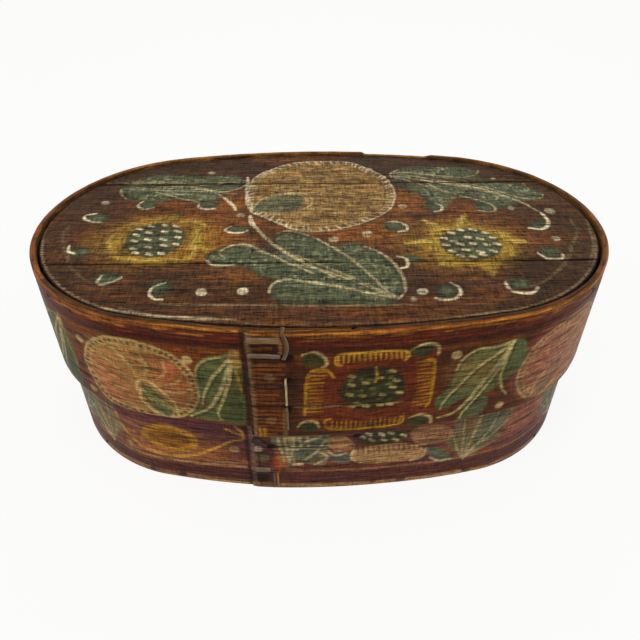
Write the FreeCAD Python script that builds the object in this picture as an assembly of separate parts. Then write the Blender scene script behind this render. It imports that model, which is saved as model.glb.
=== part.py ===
# Oval bentwood box with a deep pull-off lid.
# Each wall is one thin board steamed and bent round an oval. Its ends are
# shaved to a scarf, lapped at the front and sewn with split root. Planks pegged
# to the walls close the top and the bottom. Lengths are in millimetres, +Z is
# up, -Y is the front, and the origin is the middle of the underside.
import FreeCAD, Part
import math
import os

os.makedirs("parts", exist_ok=True)
V = FreeCAD.Vector

# size of the whole box, over the lid's wall and board
half_length = 225.0
half_width = 136.0
end_share = 0.9213
total_height = 170.0

# walls
wall = 4.8
lid_play = 1.0
lid_edge_high = 0.4665 * total_height
lid_edge_low = 0.4159 * total_height

# boards
lid_board = 12.0
rim_proud = 2.0
board_gap = 1.6
bottom_board = 10.0
bottom_gap = 0.3
rear_joint = 0.5257 * half_width
front_joint = -0.4007 * half_width
bottom_joint = 0.169 * half_width
joint_gap = 0.4
board_bevel = 0.8

# laps; places along a wall are counted from the middle of its front
lid_lap_start = -52.0
body_lap_start = -57.0
lap_length = 70.0
lap_slit = 0.3
lid_lap_proud = 2.2
body_lap_proud = 1.6
lap_bulge = 1.2
lap_tip = 0.5
lap_bevel = 5.0
lap_room = 0.8
lap_drop = 4.2
scarf_tip = 1.5
lap_fade = 42.0
swell_lead = 46.0
swell_full = 12.0
swell_hold = 28.0
swell_fade = 70.0
curve_step = 11.0
shaped_from = lid_lap_start - swell_lead - 6
shaped_to = lid_lap_start + lap_length + swell_fade + 6

# chip in the rim at the back
chip_from = 42.0
chip_to = 110.0
chip_depth = 1.9

# whittled pegs that hold the boards, as shares of the way round from the
# middle of the front to the right, and dowels between the boards
flats = 8
peg_radius = 1.5
peg_play = 0.05
peg_depth = 11.0
peg_proud = 0.3
lid_peg_shares = [0.0732, 0.0967, 0.1076, 0.172, 0.220, 0.267, 0.340, 0.390, 0.446,
                  0.498, 0.563, 0.615, 0.662, 0.733, 0.780, 0.828, 0.8503, 0.906]
bottom_peg_shares = [0.034, 0.099, 0.168, 0.220, 0.278, 0.336, 0.404, 0.471,
                     0.542, 0.605, 0.664, 0.722, 0.780, 0.832, 0.879, 0.9033]
dowel_radius = 3.0
dowel_reach = 18.0
dowel_shares = [-0.62, -0.2, 0.2, 0.62]

# root lacing of the lid
root = 1.0
thin_root = 0.8
root_play = 0.1
root_groove = 1.2
strap_left = lid_lap_start - 0.15
strap_right = -29.3
upper_strap = {"below_rim": 4.8, "tall": 4.4}
lower_strap = {"below_rim": 18.5, "tall": 3.4}
rim_strap = {"u": -25.0, "along": 5.0, "below_rim": 21.0}
seam_u = -25.2
seam_width = 1.8
upper_stitch = {"low": 0.6206 * total_height, "high": 0.7618 * total_height}
lower_stitch = {"low": 0.4735 * total_height, "high": 0.5971 * total_height}

# root lacing of the box
corner_strap = {"u0": -53.0, "u1": -42.0, "z": 23.4, "tall": 6.0}
foot_strands = [-38.6, -35.8]
foot_width = 1.9
foot_top = 19.0
foot_clear = 1.5
lap_stitch = {"u0": -24.0, "u1": 2.0, "z": 50.4, "tall": 1.3}
open_slot = {"u0": -41.0, "u1": -26.5, "z": 51.0, "tall": 2.2, "deep": 1.0}
top_strap = {"u0": -44.0, "u1": -26.0, "below_rim": 42.0, "tall": 4.0}
flush_root = 0.6
seam_peg = {"u": -50.0, "z": 57.0, "radius": 4.2, "proud": 1.2}

end_radius = end_share * half_width
side_radius = (half_length ** 2 + half_width ** 2 - 2 * half_length * end_radius)
side_radius = side_radius / (2 * (half_width - end_radius))
end_centre = half_length - end_radius
side_centre = side_radius - half_width
turn = math.atan2(end_centre, side_centre)
side_half = side_radius * turn
end_run = end_radius * (math.pi - 2 * turn)
girth = 4 * side_half + 2 * end_run

body_inward = wall + lid_play
body_height = total_height - rim_proud - lid_board
lid_board_low = body_height
lid_board_middle = lid_board_low + lid_board / 2


def spot(u):
    """Point on the lid's outline and the outward direction there."""
    u = (u + girth / 2) % girth - girth / 2
    run = abs(u)
    if run <= side_half:
        angle = run / side_radius
        centre, radius = V(0, side_centre, 0), side_radius
    elif run <= side_half + end_run:
        angle = turn + (run - side_half) / end_radius
        centre, radius = V(end_centre, 0, 0), end_radius
    else:
        angle = math.pi - (girth / 2 - run) / side_radius
        centre, radius = V(0, -side_centre, 0), side_radius
    n = V(math.sin(angle), -math.cos(angle), 0)
    p = centre + n * radius
    if u < 0:
        n = V(-n.x, n.y, 0)
        p = V(-p.x, p.y, 0)
    return p, n


def place(u, inward, z=0.0):
    """Point at a distance inward from the lid's outline."""
    p, n = spot(u)
    return V(p.x - n.x * inward, p.y - n.y * inward, z)


def ease(value, start, end):
    """Smooth step from 0 at start to 1 at end."""
    t = min(1.0, max(0.0, (value - start) / (end - start)))
    return t * t * (3 - 2 * t)


class Wall:
    """Faces of one lapped wall, as distances inward from the lid's outline."""

    def __init__(self, inward, start, proud, swell):
        self.inward = inward
        self.start = start
        self.end = start + lap_length
        self.proud = proud
        self.swell = swell

    def out(self, u):
        """Outer face without the lap; the lid's swells to clear the box's lap."""
        rise = ease(u, self.start - swell_lead, self.start - swell_full)
        fall = ease(u, self.end - swell_hold, self.end + swell_fade)
        swelling = rise * (1 - fall)
        return self.inward - self.swell * swelling

    def inside(self, u):
        return self.out(u) + wall

    def scarf(self, u):
        """Outer face of the under layer, shaved away towards its tip."""
        share = ease(u, self.start - 8, self.end + 6)
        return self.out(u) + (wall - scarf_tip) * share

    def over_inner(self, u):
        """Inner face of the over layer."""
        lying = self.scarf(u) - lap_slit
        down = ease(u, self.end + lap_room, self.end + lap_room + lap_drop)
        return lying + (self.inside(u) - lying) * down

    def over_outer(self, u):
        """Outer face of the over layer, bevelled at its end."""
        full = self.proud * (1 - ease(u, self.start + 8, self.end + lap_fade))
        tip = lap_slit + lap_tip
        bevel = ease(u, self.start, self.start + lap_bevel)
        return self.out(u) - min(full, tip + (self.proud - tip) * bevel)


lid_wall = Wall(0.0, lid_lap_start, lid_lap_proud, lap_bulge)
body_wall = Wall(body_inward, body_lap_start, body_lap_proud, 0.0)


def curve(face, start, end):
    """Smooth edge along a wall's face between two places."""
    count = max(4, round(abs(end - start) / curve_step))
    points = []
    for i in range(count + 1):
        u = start + (end - start) * i / count
        points.append(place(u, face(u)))
    line = Part.BSplineCurve()
    line.interpolate(points)
    return line.toShape()


def arc(inward, start, end):
    middle = (start + end) / 2
    return Part.Arc(place(start, inward), place(middle, inward), place(end, inward)).toShape()


def arcs(inward, start, end):
    """True arcs of the oval from start round to end."""
    ends = [side_half, side_half + end_run, girth - side_half - end_run, girth - side_half]
    stops = [start] + [s for s in ends if start < s < end] + [end]
    return [arc(inward, a, b) for a, b in zip(stops, stops[1:])]


def line(a, b):
    return Part.LineSegment(a, b).toShape()


def face_of(edges):
    return Part.Face(Part.Wire(Part.__sortEdges__(edges)))


def raised(face, low, high):
    """Upright solid over a flat plan, from one height to another."""
    solid = face.extrude(V(0, 0, high - low))
    solid.translate(V(0, 0, low))
    return solid


def wall_plan(w):
    """Plan of a wall: one strip whose ends lie over each other in the lap."""
    round_to = girth + shaped_from
    bevel = w.start + lap_bevel
    step = w.end + lap_room
    drop = step + lap_drop
    edges = [line(place(w.start, w.over_outer(w.start)), place(bevel, w.over_outer(bevel)))]
    edges += [curve(w.over_outer, bevel, shaped_to)]
    edges += arcs(w.inward, shaped_to, round_to)
    edges += [curve(w.scarf, shaped_from, w.end)]
    edges += [line(place(w.end, w.scarf(w.end)), place(w.end, w.inside(w.end)))]
    edges += [curve(w.inside, w.end, shaped_from)]
    edges += arcs(w.inward + wall, shaped_to, round_to)
    edges += [curve(w.over_inner, shaped_to, drop)]
    edges += [line(place(drop, w.over_inner(drop)), place(step, w.over_inner(step)))]
    edges += [curve(w.over_inner, step, w.start)]
    edges += [line(place(w.start, w.over_inner(w.start)), place(w.start, w.over_outer(w.start)))]
    return face_of(edges)


def oval(inward, low, high):
    return raised(face_of(arcs(inward, 0.0, girth)), low, high)


def block(u, z, along, tall, inward_from, inward_to):
    """Straight block square to the wall, such as the hole for a root."""
    p, n = spot(u)
    t = V(-n.y, n.x, 0)
    a = p - n * inward_from - t * (along / 2)
    inner = n * (inward_from - inward_to)
    plan = Part.Face(Part.makePolygon([a, a + t * along, a + t * along + inner, a + inner, a]))
    return raised(plan, z - tall / 2, z + tall / 2)


def loop_plan(u0, u1, outer, inner):
    m = (u0 + u1) / 2
    return face_of([
        Part.Arc(place(u0, outer), place(m, outer), place(u1, outer)).toShape(),
        line(place(u1, outer), place(u1, inner)),
        Part.Arc(place(u1, inner), place(m, inner), place(u0, inner)).toShape(),
        line(place(u0, inner), place(u0, outer)),
    ])


def level_loop(u0, u1, z, tall, outer, inner, thick):
    """Root sewn along the wall: in at one hole, out at the other."""
    lie = root_play / 2
    whole = loop_plan(u0 - thick, u1 + thick, outer - lie - thick, inner + lie + thick)
    hole = loop_plan(u0, u1, outer - lie, inner + lie)
    return raised(whole.cut(hole), z - tall / 2, z + tall / 2)


def upright_loop(u, low, high, along, outer, inner, thick):
    """Root sewn up and down the wall, closed below low and above high."""
    def ring(grow):
        corners = [(outer - grow, low - grow), (inner + grow, low - grow),
                   (inner + grow, high + grow), (outer - grow, high + grow)]
        points = [place(u, inward, z) for inward, z in corners]
        return Part.Face(Part.makePolygon(points + points[:1]))
    lie = root_play / 2
    n = spot(u)[1]
    t = V(-n.y, n.x, 0)
    loop = ring(lie + thick).cut(ring(lie)).extrude(t * along)
    loop.translate(t * (-along / 2))
    return loop


def whittled(head, along, radius, length):
    """Peg or dowel cut with a knife: straight, with flats all round."""
    side = V(-along.y, along.x, 0)
    points = []
    for i in range(flats + 1):
        angle = 2 * math.pi * (i + 0.5) / flats
        across = side * (radius * math.cos(angle))
        points.append(head + across + V(0, 0, radius * math.sin(angle)))
    return Part.Face(Part.makePolygon(points)).extrude(along * length)


def peg(u, z, outer, radius, depth):
    """Peg driven square through the wall."""
    p, n = spot(u)
    head = p - n * outer
    return whittled(V(head.x, head.y, z), n * -1, radius, depth)


def round_peg(u, z, outer, radius, depth):
    p, n = spot(u)
    head = p - n * outer
    return Part.makeCylinder(radius, depth, V(head.x, head.y, z), n * -1)


def dowel(x, y, z, reach, radius):
    return whittled(V(x, y - reach, z), V(0, 1, 0), radius, 2 * reach)


def together(shapes):
    return Part.makeCompound(shapes)


def bored(shape, cutters):
    """Shape with every cutter taken away, as one clean solid."""
    result = shape.cut(cutters)
    return result.Solids[0] if len(result.Solids) == 1 else result


def save(shape, node):
    if not shape.isValid():
        raise ValueError("shape is not sound: " + node)
    shape.exportStep("parts/" + node + ".step")
    print(node, len(shape.Solids), round(shape.Volume))


def planks(inward, low, high, joints, bevel_top):
    """Oval board sawn into planks, front plank first, with eased edges."""
    board = oval(inward, low, high)
    cuts = [-half_width - 9] + joints + [half_width + 9]
    result = []
    for front, rear in zip(cuts, cuts[1:]):
        y0 = front + joint_gap / 2
        y1 = rear - joint_gap / 2
        stuff = Part.makeBox(2 * half_length, y1 - y0, high - low, V(-half_length, y0, low))
        plank = board.common(stuff).Solids[0]
        if bevel_top:
            top = [e for e in plank.Edges if e.BoundBox.ZMin > high - 0.01]
            plank = plank.makeChamfer(board_bevel, top).Solids[0]
        result.append(plank)
    return result


# boards of the lid
lid_planks = planks(wall + board_gap, lid_board_low, lid_board_low + lid_board,
                    [front_joint, rear_joint], True)
dowel_places = [share * half_length for share in dowel_shares]
lid_dowel_spots = [(x, y) for y in (front_joint, rear_joint) for x in dowel_places]
lid_dowels = [dowel(x, y, lid_board_middle, dowel_reach, dowel_radius)
              for x, y in lid_dowel_spots]
dowel_holes = [dowel(x, y, lid_board_middle, dowel_reach + 0.5, dowel_radius + peg_play)
               for x, y in lid_dowel_spots]

lid_peg_places = [share * girth for share in lid_peg_shares]
lid_peg_length = wall + board_gap + peg_depth + peg_proud
lid_pegs = [peg(u, lid_board_middle, lid_wall.over_outer(u) - peg_proud, peg_radius,
                lid_peg_length) for u in lid_peg_places]
lid_peg_holes = [peg(u, lid_board_middle, -5, peg_radius + peg_play, lid_peg_length + 6)
                 for u in lid_peg_places]
lid_planks = [bored(p, lid_peg_holes + dowel_holes) for p in lid_planks]

# wall of the lid
lid_band = raised(wall_plan(lid_wall), lid_edge_low, total_height)

edge_x = place(lid_lap_start, 0).x - 0.2
slope = [V(edge_x, 0, 0), V(edge_x, 0, lid_edge_low), V(half_length, 0, lid_edge_high),
         V(half_length + 9, 0, lid_edge_high), V(half_length + 9, 0, 0), V(edge_x, 0, 0)]
slope = Part.Face(Part.makePolygon(slope)).extrude(V(0, -half_width - 9, 0))
rear = Part.makeBox(2 * half_length + 9, half_width + 9, lid_edge_high, V(-half_length - 4, 0, 0))
left = Part.makeBox(half_length + 9 + edge_x, half_width + 9, lid_edge_high,
                    V(-half_length - 9, -half_width - 9, 0))


def slit_middle(u):
    return lid_wall.scarf(u) - lap_slit / 2


under_end = lid_wall.end + 0.4
under_start = lid_lap_start - 8
under = face_of([
    curve(slit_middle, under_start, under_end),
    line(place(under_end, slit_middle(under_end)), place(under_end, wall + 3)),
    arc(wall + 3, under_end, under_start),
    line(place(under_start, wall + 3), place(under_start, slit_middle(under_start))),
])
under = raised(under, 0, lid_edge_high)

chip = [V(chip_from, 0, total_height + 1), V(chip_from + 5, 0, total_height - chip_depth),
        V(chip_to - 9, 0, total_height - chip_depth + 0.4), V(chip_to, 0, total_height + 1),
        V(chip_from, 0, total_height + 1)]
chip = Part.Face(Part.makePolygon(chip)).extrude(V(0, half_width + 9, 0))

# root straps and stitches of the lid
upper_z = total_height - upper_strap["below_rim"]
lower_z = total_height - lower_strap["below_rim"]
rim_z = total_height - rim_strap["below_rim"]
strap_middle = (strap_left + strap_right) / 2
strap_outer = lid_wall.out(strap_middle) - lid_lap_proud
strap_inner = lid_wall.inside(strap_middle)
upper_loop = level_loop(strap_left, strap_right, upper_z, upper_strap["tall"],
                        strap_outer, strap_inner, root)
lower_loop = level_loop(strap_left, strap_right, lower_z, lower_strap["tall"],
                        strap_outer, strap_inner - root_groove, root)
seam_outer = lid_wall.over_outer(seam_u)
seam_inner = lid_wall.inside(seam_u) - root_groove
rim_loop = upright_loop(rim_strap["u"], rim_z, total_height, rim_strap["along"],
                        seam_outer, seam_inner, root)
upper_seam = upright_loop(seam_u, upper_stitch["low"], upper_stitch["high"], seam_width,
                          seam_outer, seam_inner, thin_root)
lower_seam = upright_loop(seam_u, lower_stitch["low"], lower_stitch["high"], seam_width,
                          seam_outer, seam_inner, thin_root)

deep = wall + 3
play = 2 * root_play
lid_cuts = [slope, rear, left, under, chip] + lid_peg_holes
for z, strap in ((upper_z, upper_strap), (lower_z, lower_strap)):
    tall = strap["tall"] + play
    lid_cuts.append(block(strap_left - root / 2, z, root + play, tall, -9, deep))
    lid_cuts.append(block(strap_right + root / 2, z, root + play, tall, -9, deep))
strap_run = strap_right - strap_left + 2 * root + play
lid_cuts.append(block(strap_middle, lower_z, strap_run, lower_strap["tall"] + play,
                      strap_inner - root_groove, deep))
rim_hole = root + play
lid_cuts.append(block(rim_strap["u"], rim_z - root / 2, rim_strap["along"] + play,
                      rim_hole, -9, deep))
groove_low = rim_z - root - root_play
groove_tall = total_height + 1 - groove_low
lid_cuts.append(block(rim_strap["u"], groove_low + groove_tall / 2, rim_strap["along"] + play,
                      groove_tall, seam_inner, deep))
for stitch in (upper_stitch, lower_stitch):
    low = stitch["low"] - thin_root / 2
    high = stitch["high"] + thin_root / 2
    hole = thin_root + play
    lid_cuts.append(block(seam_u, low, seam_width + play, hole, -9, deep))
    lid_cuts.append(block(seam_u, high, seam_width + play, hole, -9, deep))
    lid_cuts.append(block(seam_u, (low + high) / 2, seam_width + play, high - low + hole,
                          seam_inner, deep))
lid_band = bored(lid_band, lid_cuts)

# bottom boards, pegs and dowels of the box
bottom_middle = bottom_board / 2
bottom_inward = body_wall.inward + wall + bottom_gap
bottom_planks = planks(bottom_inward, 0, bottom_board, [bottom_joint], False)
bottom_dowels = [dowel(x, bottom_joint, bottom_middle, dowel_reach, dowel_radius)
                 for x in dowel_places]
bottom_dowel_holes = [dowel(x, bottom_joint, bottom_middle, dowel_reach + 0.5,
                            dowel_radius + peg_play) for x in dowel_places]
bottom_peg_places = [share * girth for share in bottom_peg_shares]
bottom_peg_length = wall + bottom_gap + peg_depth + peg_proud
bottom_pegs = [peg(u, bottom_middle, body_wall.over_outer(u) - peg_proud, peg_radius,
                   bottom_peg_length) for u in bottom_peg_places]
bottom_peg_holes = [peg(u, bottom_middle, 0, peg_radius + peg_play,
                        bottom_peg_length + body_inward + 1) for u in bottom_peg_places]

# root straps, stitches and seam peg of the box
corner_u = (corner_strap["u0"] + corner_strap["u1"]) / 2
corner_outer = body_wall.out(corner_u) - body_lap_proud
body_inside = body_wall.inside(corner_u)
corner_loop = level_loop(corner_strap["u0"], corner_strap["u1"], corner_strap["z"],
                         corner_strap["tall"], corner_outer, body_inside, root)
foot_loops = [upright_loop(u, foot_clear, foot_top, foot_width, body_wall.over_outer(u),
                           body_inside, thin_root) for u in foot_strands]
lap_u = (lap_stitch["u0"] + lap_stitch["u1"]) / 2
lap_outer = min(body_wall.over_outer(lap_stitch["u0"]), body_wall.over_outer(lap_stitch["u1"]))
lap_loop = level_loop(lap_stitch["u0"], lap_stitch["u1"], lap_stitch["z"], lap_stitch["tall"],
                      lap_outer, body_inside, thin_root)
top_u = (top_strap["u0"] + top_strap["u1"]) / 2
top_outer = body_wall.over_outer(top_strap["u0"]) + flush_root
top_strap["z"] = total_height - top_strap["below_rim"]
top_loop = level_loop(top_strap["u0"], top_strap["u1"], top_strap["z"], top_strap["tall"],
                      top_outer, body_inside, flush_root)
knob_outer = body_wall.out(seam_peg["u"]) - body_lap_proud - seam_peg["proud"]
knob_length = body_inside + 1 - knob_outer
knob = round_peg(seam_peg["u"], seam_peg["z"], knob_outer, seam_peg["radius"], knob_length)
knob = knob.makeChamfer(0.8, [knob.Edges[0], knob.Edges[2]])
knob_hole = round_peg(seam_peg["u"], seam_peg["z"], 0, seam_peg["radius"] + peg_play, 20)

# wall of the box
body_band = raised(wall_plan(body_wall), 0, body_height)
body_deep = body_inside + 3
body_cuts = bottom_peg_holes + [knob_hole]
for loop, thick in ((corner_strap, root), (lap_stitch, thin_root), (top_strap, flush_root)):
    tall = loop["tall"] + play
    body_cuts.append(block(loop["u0"] - thick / 2, loop["z"], thick + play, tall, 0, body_deep))
    body_cuts.append(block(loop["u1"] + thick / 2, loop["z"], thick + play, tall, 0, body_deep))
top_run = top_strap["u1"] - top_strap["u0"] + 2 * flush_root + play
body_cuts.append(block(top_u, top_strap["z"], top_run, top_strap["tall"] + play, 0, top_outer))
slot_u = (open_slot["u0"] + open_slot["u1"]) / 2
slot_run = open_slot["u1"] - open_slot["u0"]
slot_floor = body_wall.over_outer(slot_u) + open_slot["deep"]
body_cuts.append(block(slot_u, open_slot["z"], slot_run, open_slot["tall"], 0, slot_floor))
plank_cuts = []
for u in foot_strands:
    body_cuts.append(block(u, foot_top + thin_root / 2, foot_width + play, thin_root + play,
                           0, body_deep))
    body_cuts.append(block(u, 0, foot_width + play, 2 * foot_clear + play, 0, body_deep))
    plank_cuts.append(block(u, bottom_middle, foot_width + play, bottom_board + 2,
                            body_inside - 1, body_inside + thin_root + play))
body_band = bored(body_band, body_cuts)
bottom_planks = [bored(p, bottom_peg_holes + bottom_dowel_holes + plank_cuts)
                 for p in bottom_planks]

save(lid_planks[2], "lid_plank_rear")
save(lid_planks[1], "lid_plank_middle")
save(lid_planks[0], "lid_plank_front")
save(together(lid_dowels), "lid_plank_dowels")
save(lid_band, "lid_band")
save(together(lid_pegs), "lid_pegs")
save(upper_loop, "lid_lap_strap_upper")
save(lower_loop, "lid_lap_strap_lower")
save(rim_loop, "lid_rim_strap")
save(upper_seam, "lid_seam_stitch_upper")
save(lower_seam, "lid_seam_stitch_lower")
save(body_band, "body_band")
save(bottom_planks[1], "bottom_plank_rear")
save(bottom_planks[0], "bottom_plank_front")
save(together(bottom_dowels), "bottom_plank_dowels")
save(together(bottom_pegs), "bottom_pegs")
save(knob, "body_seam_peg")
save(lap_loop, "body_lap_stitch")
save(corner_loop, "body_corner_strap")
save(together(foot_loops), "body_foot_strands")
save(top_loop, "body_top_strap")
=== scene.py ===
import math

import bpy
import numpy as np
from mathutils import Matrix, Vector


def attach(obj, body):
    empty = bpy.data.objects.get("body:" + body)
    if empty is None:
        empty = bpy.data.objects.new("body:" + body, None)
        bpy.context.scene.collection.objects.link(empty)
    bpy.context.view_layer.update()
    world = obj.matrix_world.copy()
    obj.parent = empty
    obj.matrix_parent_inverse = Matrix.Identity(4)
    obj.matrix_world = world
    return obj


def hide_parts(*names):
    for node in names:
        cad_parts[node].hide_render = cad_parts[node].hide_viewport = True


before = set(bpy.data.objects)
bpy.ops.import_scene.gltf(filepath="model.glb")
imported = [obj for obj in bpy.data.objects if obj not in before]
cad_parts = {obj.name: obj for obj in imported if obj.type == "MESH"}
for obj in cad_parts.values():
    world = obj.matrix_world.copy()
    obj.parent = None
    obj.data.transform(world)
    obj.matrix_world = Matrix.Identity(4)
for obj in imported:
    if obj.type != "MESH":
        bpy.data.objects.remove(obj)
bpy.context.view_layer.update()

# An old oval bentwood box: pine boards steamed and bent, lapped at the front,
# sewn with split root, then painted with flowers and leaves and worn for years.

boxShape = {   # millimetres, or shares of the half width or the height, as the solids have them
    "halfLength": 225.0, "halfWidth": 136.0, "endShare": 0.9213, "height": 170.0,
    "wall": 4.8, "lidPlay": 1.0, "rimProud": 2.0, "lidBoard": 12.0, "boardGap": 1.6,
    "rearJoint": 0.5257, "frontJoint": -0.4007, "jointGap": 0.4,
    "lidEdgeHigh": 0.4665, "lidEdgeLow": 0.4159,
    "lapLength": 70.0, "lapSlit": 0.3, "lapTip": 0.5, "lapBevel": 5.0,
    "scarfTip": 1.5, "scarfLead": 8.0, "scarfFade": 6.0, "lapLead": 8.0, "lapFade": 42.0,
    "overLead": 0.8, "overFade": 5.0, "lapEndX": -52.1,
    "swellLead": 46.0, "swellFull": 12.0, "swellHold": 28.0, "swellFade": 70.0,
    "chipFrom": 42.0, "chipTo": 110.0, "chipDepth": 1.9, "chipStart": 5.0, "chipEnd": 9.0,
    "rimWear": 0.25,
}

endRadius = boxShape["endShare"] * boxShape["halfWidth"]
sideRadius = (boxShape["halfLength"] ** 2 + boxShape["halfWidth"] ** 2
              - 2 * boxShape["halfLength"] * endRadius) / (2 * (boxShape["halfWidth"] - endRadius))
endCentre = boxShape["halfLength"] - endRadius
sideCentre = sideRadius - boxShape["halfWidth"]
turnAngle = math.atan2(endCentre, sideCentre)
sideHalf = sideRadius * turnAngle
endRun = endRadius * (math.pi - 2 * turnAngle)
girth = 4 * sideHalf + 2 * endRun
mm = 0.001


def ovalSpot(u):
    # place on the lid's outline and its outward direction; u runs from the middle of the front
    u = (np.asarray(u, float) + girth / 2) % girth - girth / 2
    run = np.abs(u)
    front = run <= sideHalf
    back = run > sideHalf + endRun
    angle = np.where(front, run / sideRadius,
                     np.where(back, math.pi - (girth / 2 - run) / sideRadius,
                              turnAngle + (run - sideHalf) / endRadius))
    radius = np.where(front | back, sideRadius, endRadius)
    nx, ny = np.sin(angle), -np.cos(angle)
    x = np.where(front | back, 0.0, endCentre) + nx * radius
    y = np.where(front, sideCentre, np.where(back, -sideCentre, 0.0)) + ny * radius
    side = np.where(u < 0, -1.0, 1.0)
    return x * side, y, nx * side, ny


def wallPoint(u, inward, z):
    x, y, nx, ny = ovalSpot(u)
    x, y, z = np.broadcast_arrays(x - nx * inward, y - ny * inward, z)
    return np.stack([x, y, z], -1) * mm


def ease(value, start, end):
    t = np.clip((np.asarray(value, float) - start) / (end - start), 0, 1)
    return t * t * (3 - 2 * t)


class LappedWall:
    # faces of one wall, as distances inward from the lid's outline
    def __init__(self, inward, start, proud, swell):
        self.inward, self.start, self.proud, self.swell = inward, start, proud, swell
        self.end = start + boxShape["lapLength"]

    def out(self, u):
        rise = ease(u, self.start - boxShape["swellLead"], self.start - boxShape["swellFull"])
        fall = ease(u, self.end - boxShape["swellHold"], self.end + boxShape["swellFade"])
        return self.inward - self.swell * rise * (1 - fall)

    def inside(self, u):
        return self.out(u) + boxShape["wall"]

    def scarf(self, u):
        share = ease(u, self.start - boxShape["scarfLead"], self.end + boxShape["scarfFade"])
        return self.out(u) + (boxShape["wall"] - boxShape["scarfTip"]) * share

    def overInner(self, u):
        lying = self.scarf(u) - boxShape["lapSlit"]
        down = ease(u, self.end + boxShape["overLead"], self.end + boxShape["overFade"])
        return lying + (self.inside(u) - lying) * down

    def overOuter(self, u):
        fade = ease(u, self.start + boxShape["lapLead"], self.end + boxShape["lapFade"])
        full = self.proud * (1 - fade)
        tip = boxShape["lapSlit"] + boxShape["lapTip"]
        bevel = ease(u, self.start, self.start + boxShape["lapBevel"])
        return self.out(u) - np.minimum(full, tip + (self.proud - tip) * bevel)

    def faces(self, s):
        # outer and inner face along the strip, from its outer end to its inner end
        under = s > girth / 2
        u = np.where(under, s - girth, s)
        outer = np.where(under, self.scarf(u), self.overOuter(u))
        inner = np.where(under, self.inside(u), self.overInner(u))
        return u, outer, inner


lidWallShape = LappedWall(inward=0.0, start=-52.0, proud=2.2, swell=1.2)
boxWallShape = LappedWall(inward=boxShape["wall"] + boxShape["lidPlay"], start=-57.0,
                          proud=1.6, swell=0.0)
boardLow = boxShape["height"] - boxShape["rimProud"] - boxShape["lidBoard"]
boardTop = boxShape["height"] - boxShape["rimProud"]
print("shapes worked out: girth", round(girth, 1), "mm")


# colour and pattern helpers

def linearColour(hexCode):
    # sRGB hex to the linear values that Blender mixes
    parts = [int(hexCode[i:i + 2], 16) / 255 for i in (1, 3, 5)]
    return [c / 12.92 if c <= 0.04045 else ((c + 0.055) / 1.055) ** 2.4 for c in parts]


patternCells = 128   # cells each way before a pattern repeats


def mottle(x, y, sizeX, sizeY, seed):
    # soft uneven pattern from 0 to 1, with blobs of about that size in millimetres
    table = np.random.RandomState(seed).rand(patternCells, patternCells)
    gx, gy = np.asarray(x) / sizeX, np.asarray(y) / sizeY
    ix, iy = np.floor(gx).astype(int), np.floor(gy).astype(int)
    fx, fy = gx - ix, gy - iy
    fx, fy = fx * fx * (3 - 2 * fx), fy * fy * (3 - 2 * fy)
    left, right = ix % patternCells, (ix + 1) % patternCells
    low, high = iy % patternCells, (iy + 1) % patternCells
    a, b, c, d = table[left, low], table[right, low], table[left, high], table[right, high]
    return (a * (1 - fx) + b * fx) * (1 - fy) + (c * (1 - fx) + d * fx) * fy


# mesh helpers

def meshObject(name, points, loops, sizes, smoothFaces):
    # points in metres, the corners of all the faces in a row, and how many corners each face has
    mesh = bpy.data.meshes.new(name)
    mesh.vertices.add(len(points))
    mesh.vertices.foreach_set("co", points.ravel())
    mesh.loops.add(len(loops))
    mesh.loops.foreach_set("vertex_index", loops)
    mesh.polygons.add(len(sizes))
    mesh.polygons.foreach_set("loop_start", np.concatenate([[0], np.cumsum(sizes)[:-1]]))
    mesh.polygons.foreach_set("loop_total", sizes)
    mesh.polygons.foreach_set("use_smooth", np.arange(len(sizes)) < smoothFaces)
    mesh.update(calc_edges=True)
    mesh.validate()
    thing = bpy.data.objects.new(name, mesh)
    bpy.context.scene.collection.objects.link(thing)
    return thing


def gridMesh(name, points, wrap, caps, ring=False):
    # mesh from rows of points; wrap closes each row, caps close the two end rows, ring joins them
    rows, cols = points.shape[:2]
    index = np.arange(rows * cols).reshape(rows, cols)
    right = np.roll(index, -1, 1) if wrap else index[:, 1:]
    left = index if wrap else index[:, :-1]
    if ring:
        left, right = np.vstack([left, left[:1]]), np.vstack([right, right[:1]])
    quads = np.stack([left[:-1], right[:-1], right[1:], left[1:]], -1).reshape(-1, 4)
    loops = [quads.ravel()]
    sizes = [np.full(len(quads), 4)]
    if caps:
        loops += [index[0][::-1], index[-1]]
        sizes += [np.array([cols, cols])]
    sizes = np.concatenate(sizes)
    return meshObject(name, points.reshape(-1, 3), np.concatenate(loops), sizes, len(sizes))


def pointColour(mesh, name, colours):
    layer = mesh.attributes.new(name, "FLOAT_COLOR", "POINT")
    full = np.ones((len(mesh.vertices), 4), np.float32)
    full[:, :colours.shape[1]] = colours
    layer.data.foreach_set("color", full.ravel())


def pointVector(mesh, name, values):
    layer = mesh.attributes.new(name, "FLOAT_VECTOR", "POINT")
    layer.data.foreach_set("vector", np.asarray(values, np.float32).ravel())


# camera, floor and light

view = {"place": (-0.0075, -0.4360, 0.4229), "direction": (0.0134, 0.7759, -0.6307),
        "lens": 34.93, "sensor": 36.0, "near": 0.02, "far": 60.0}
studio = {   # metres and watts
    "floor": "#f4f2ee", "floorHalf": 9, "floorDrop": 0.0001, "floorShown": 0.86,
    "floorGlow": 1.02, "world": 0.55,
    "lamps": [   # name, place, target, size, power, colour
        ("softboxLeft", (-1.1, -1.0, 1.5), (0, 0, 0.1), 1.2, 11.0, "#fff6ea"),
        ("softboxRight", (1.2, -0.9, 1.1), (0, 0, 0.1), 1.0, 4.5, "#f2f6ff"),
        ("softboxRear", (0.2, 1.3, 1.4), (0, 0, 0.15), 1.2, 4.0, "#ffffff"),
    ],
}


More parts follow.
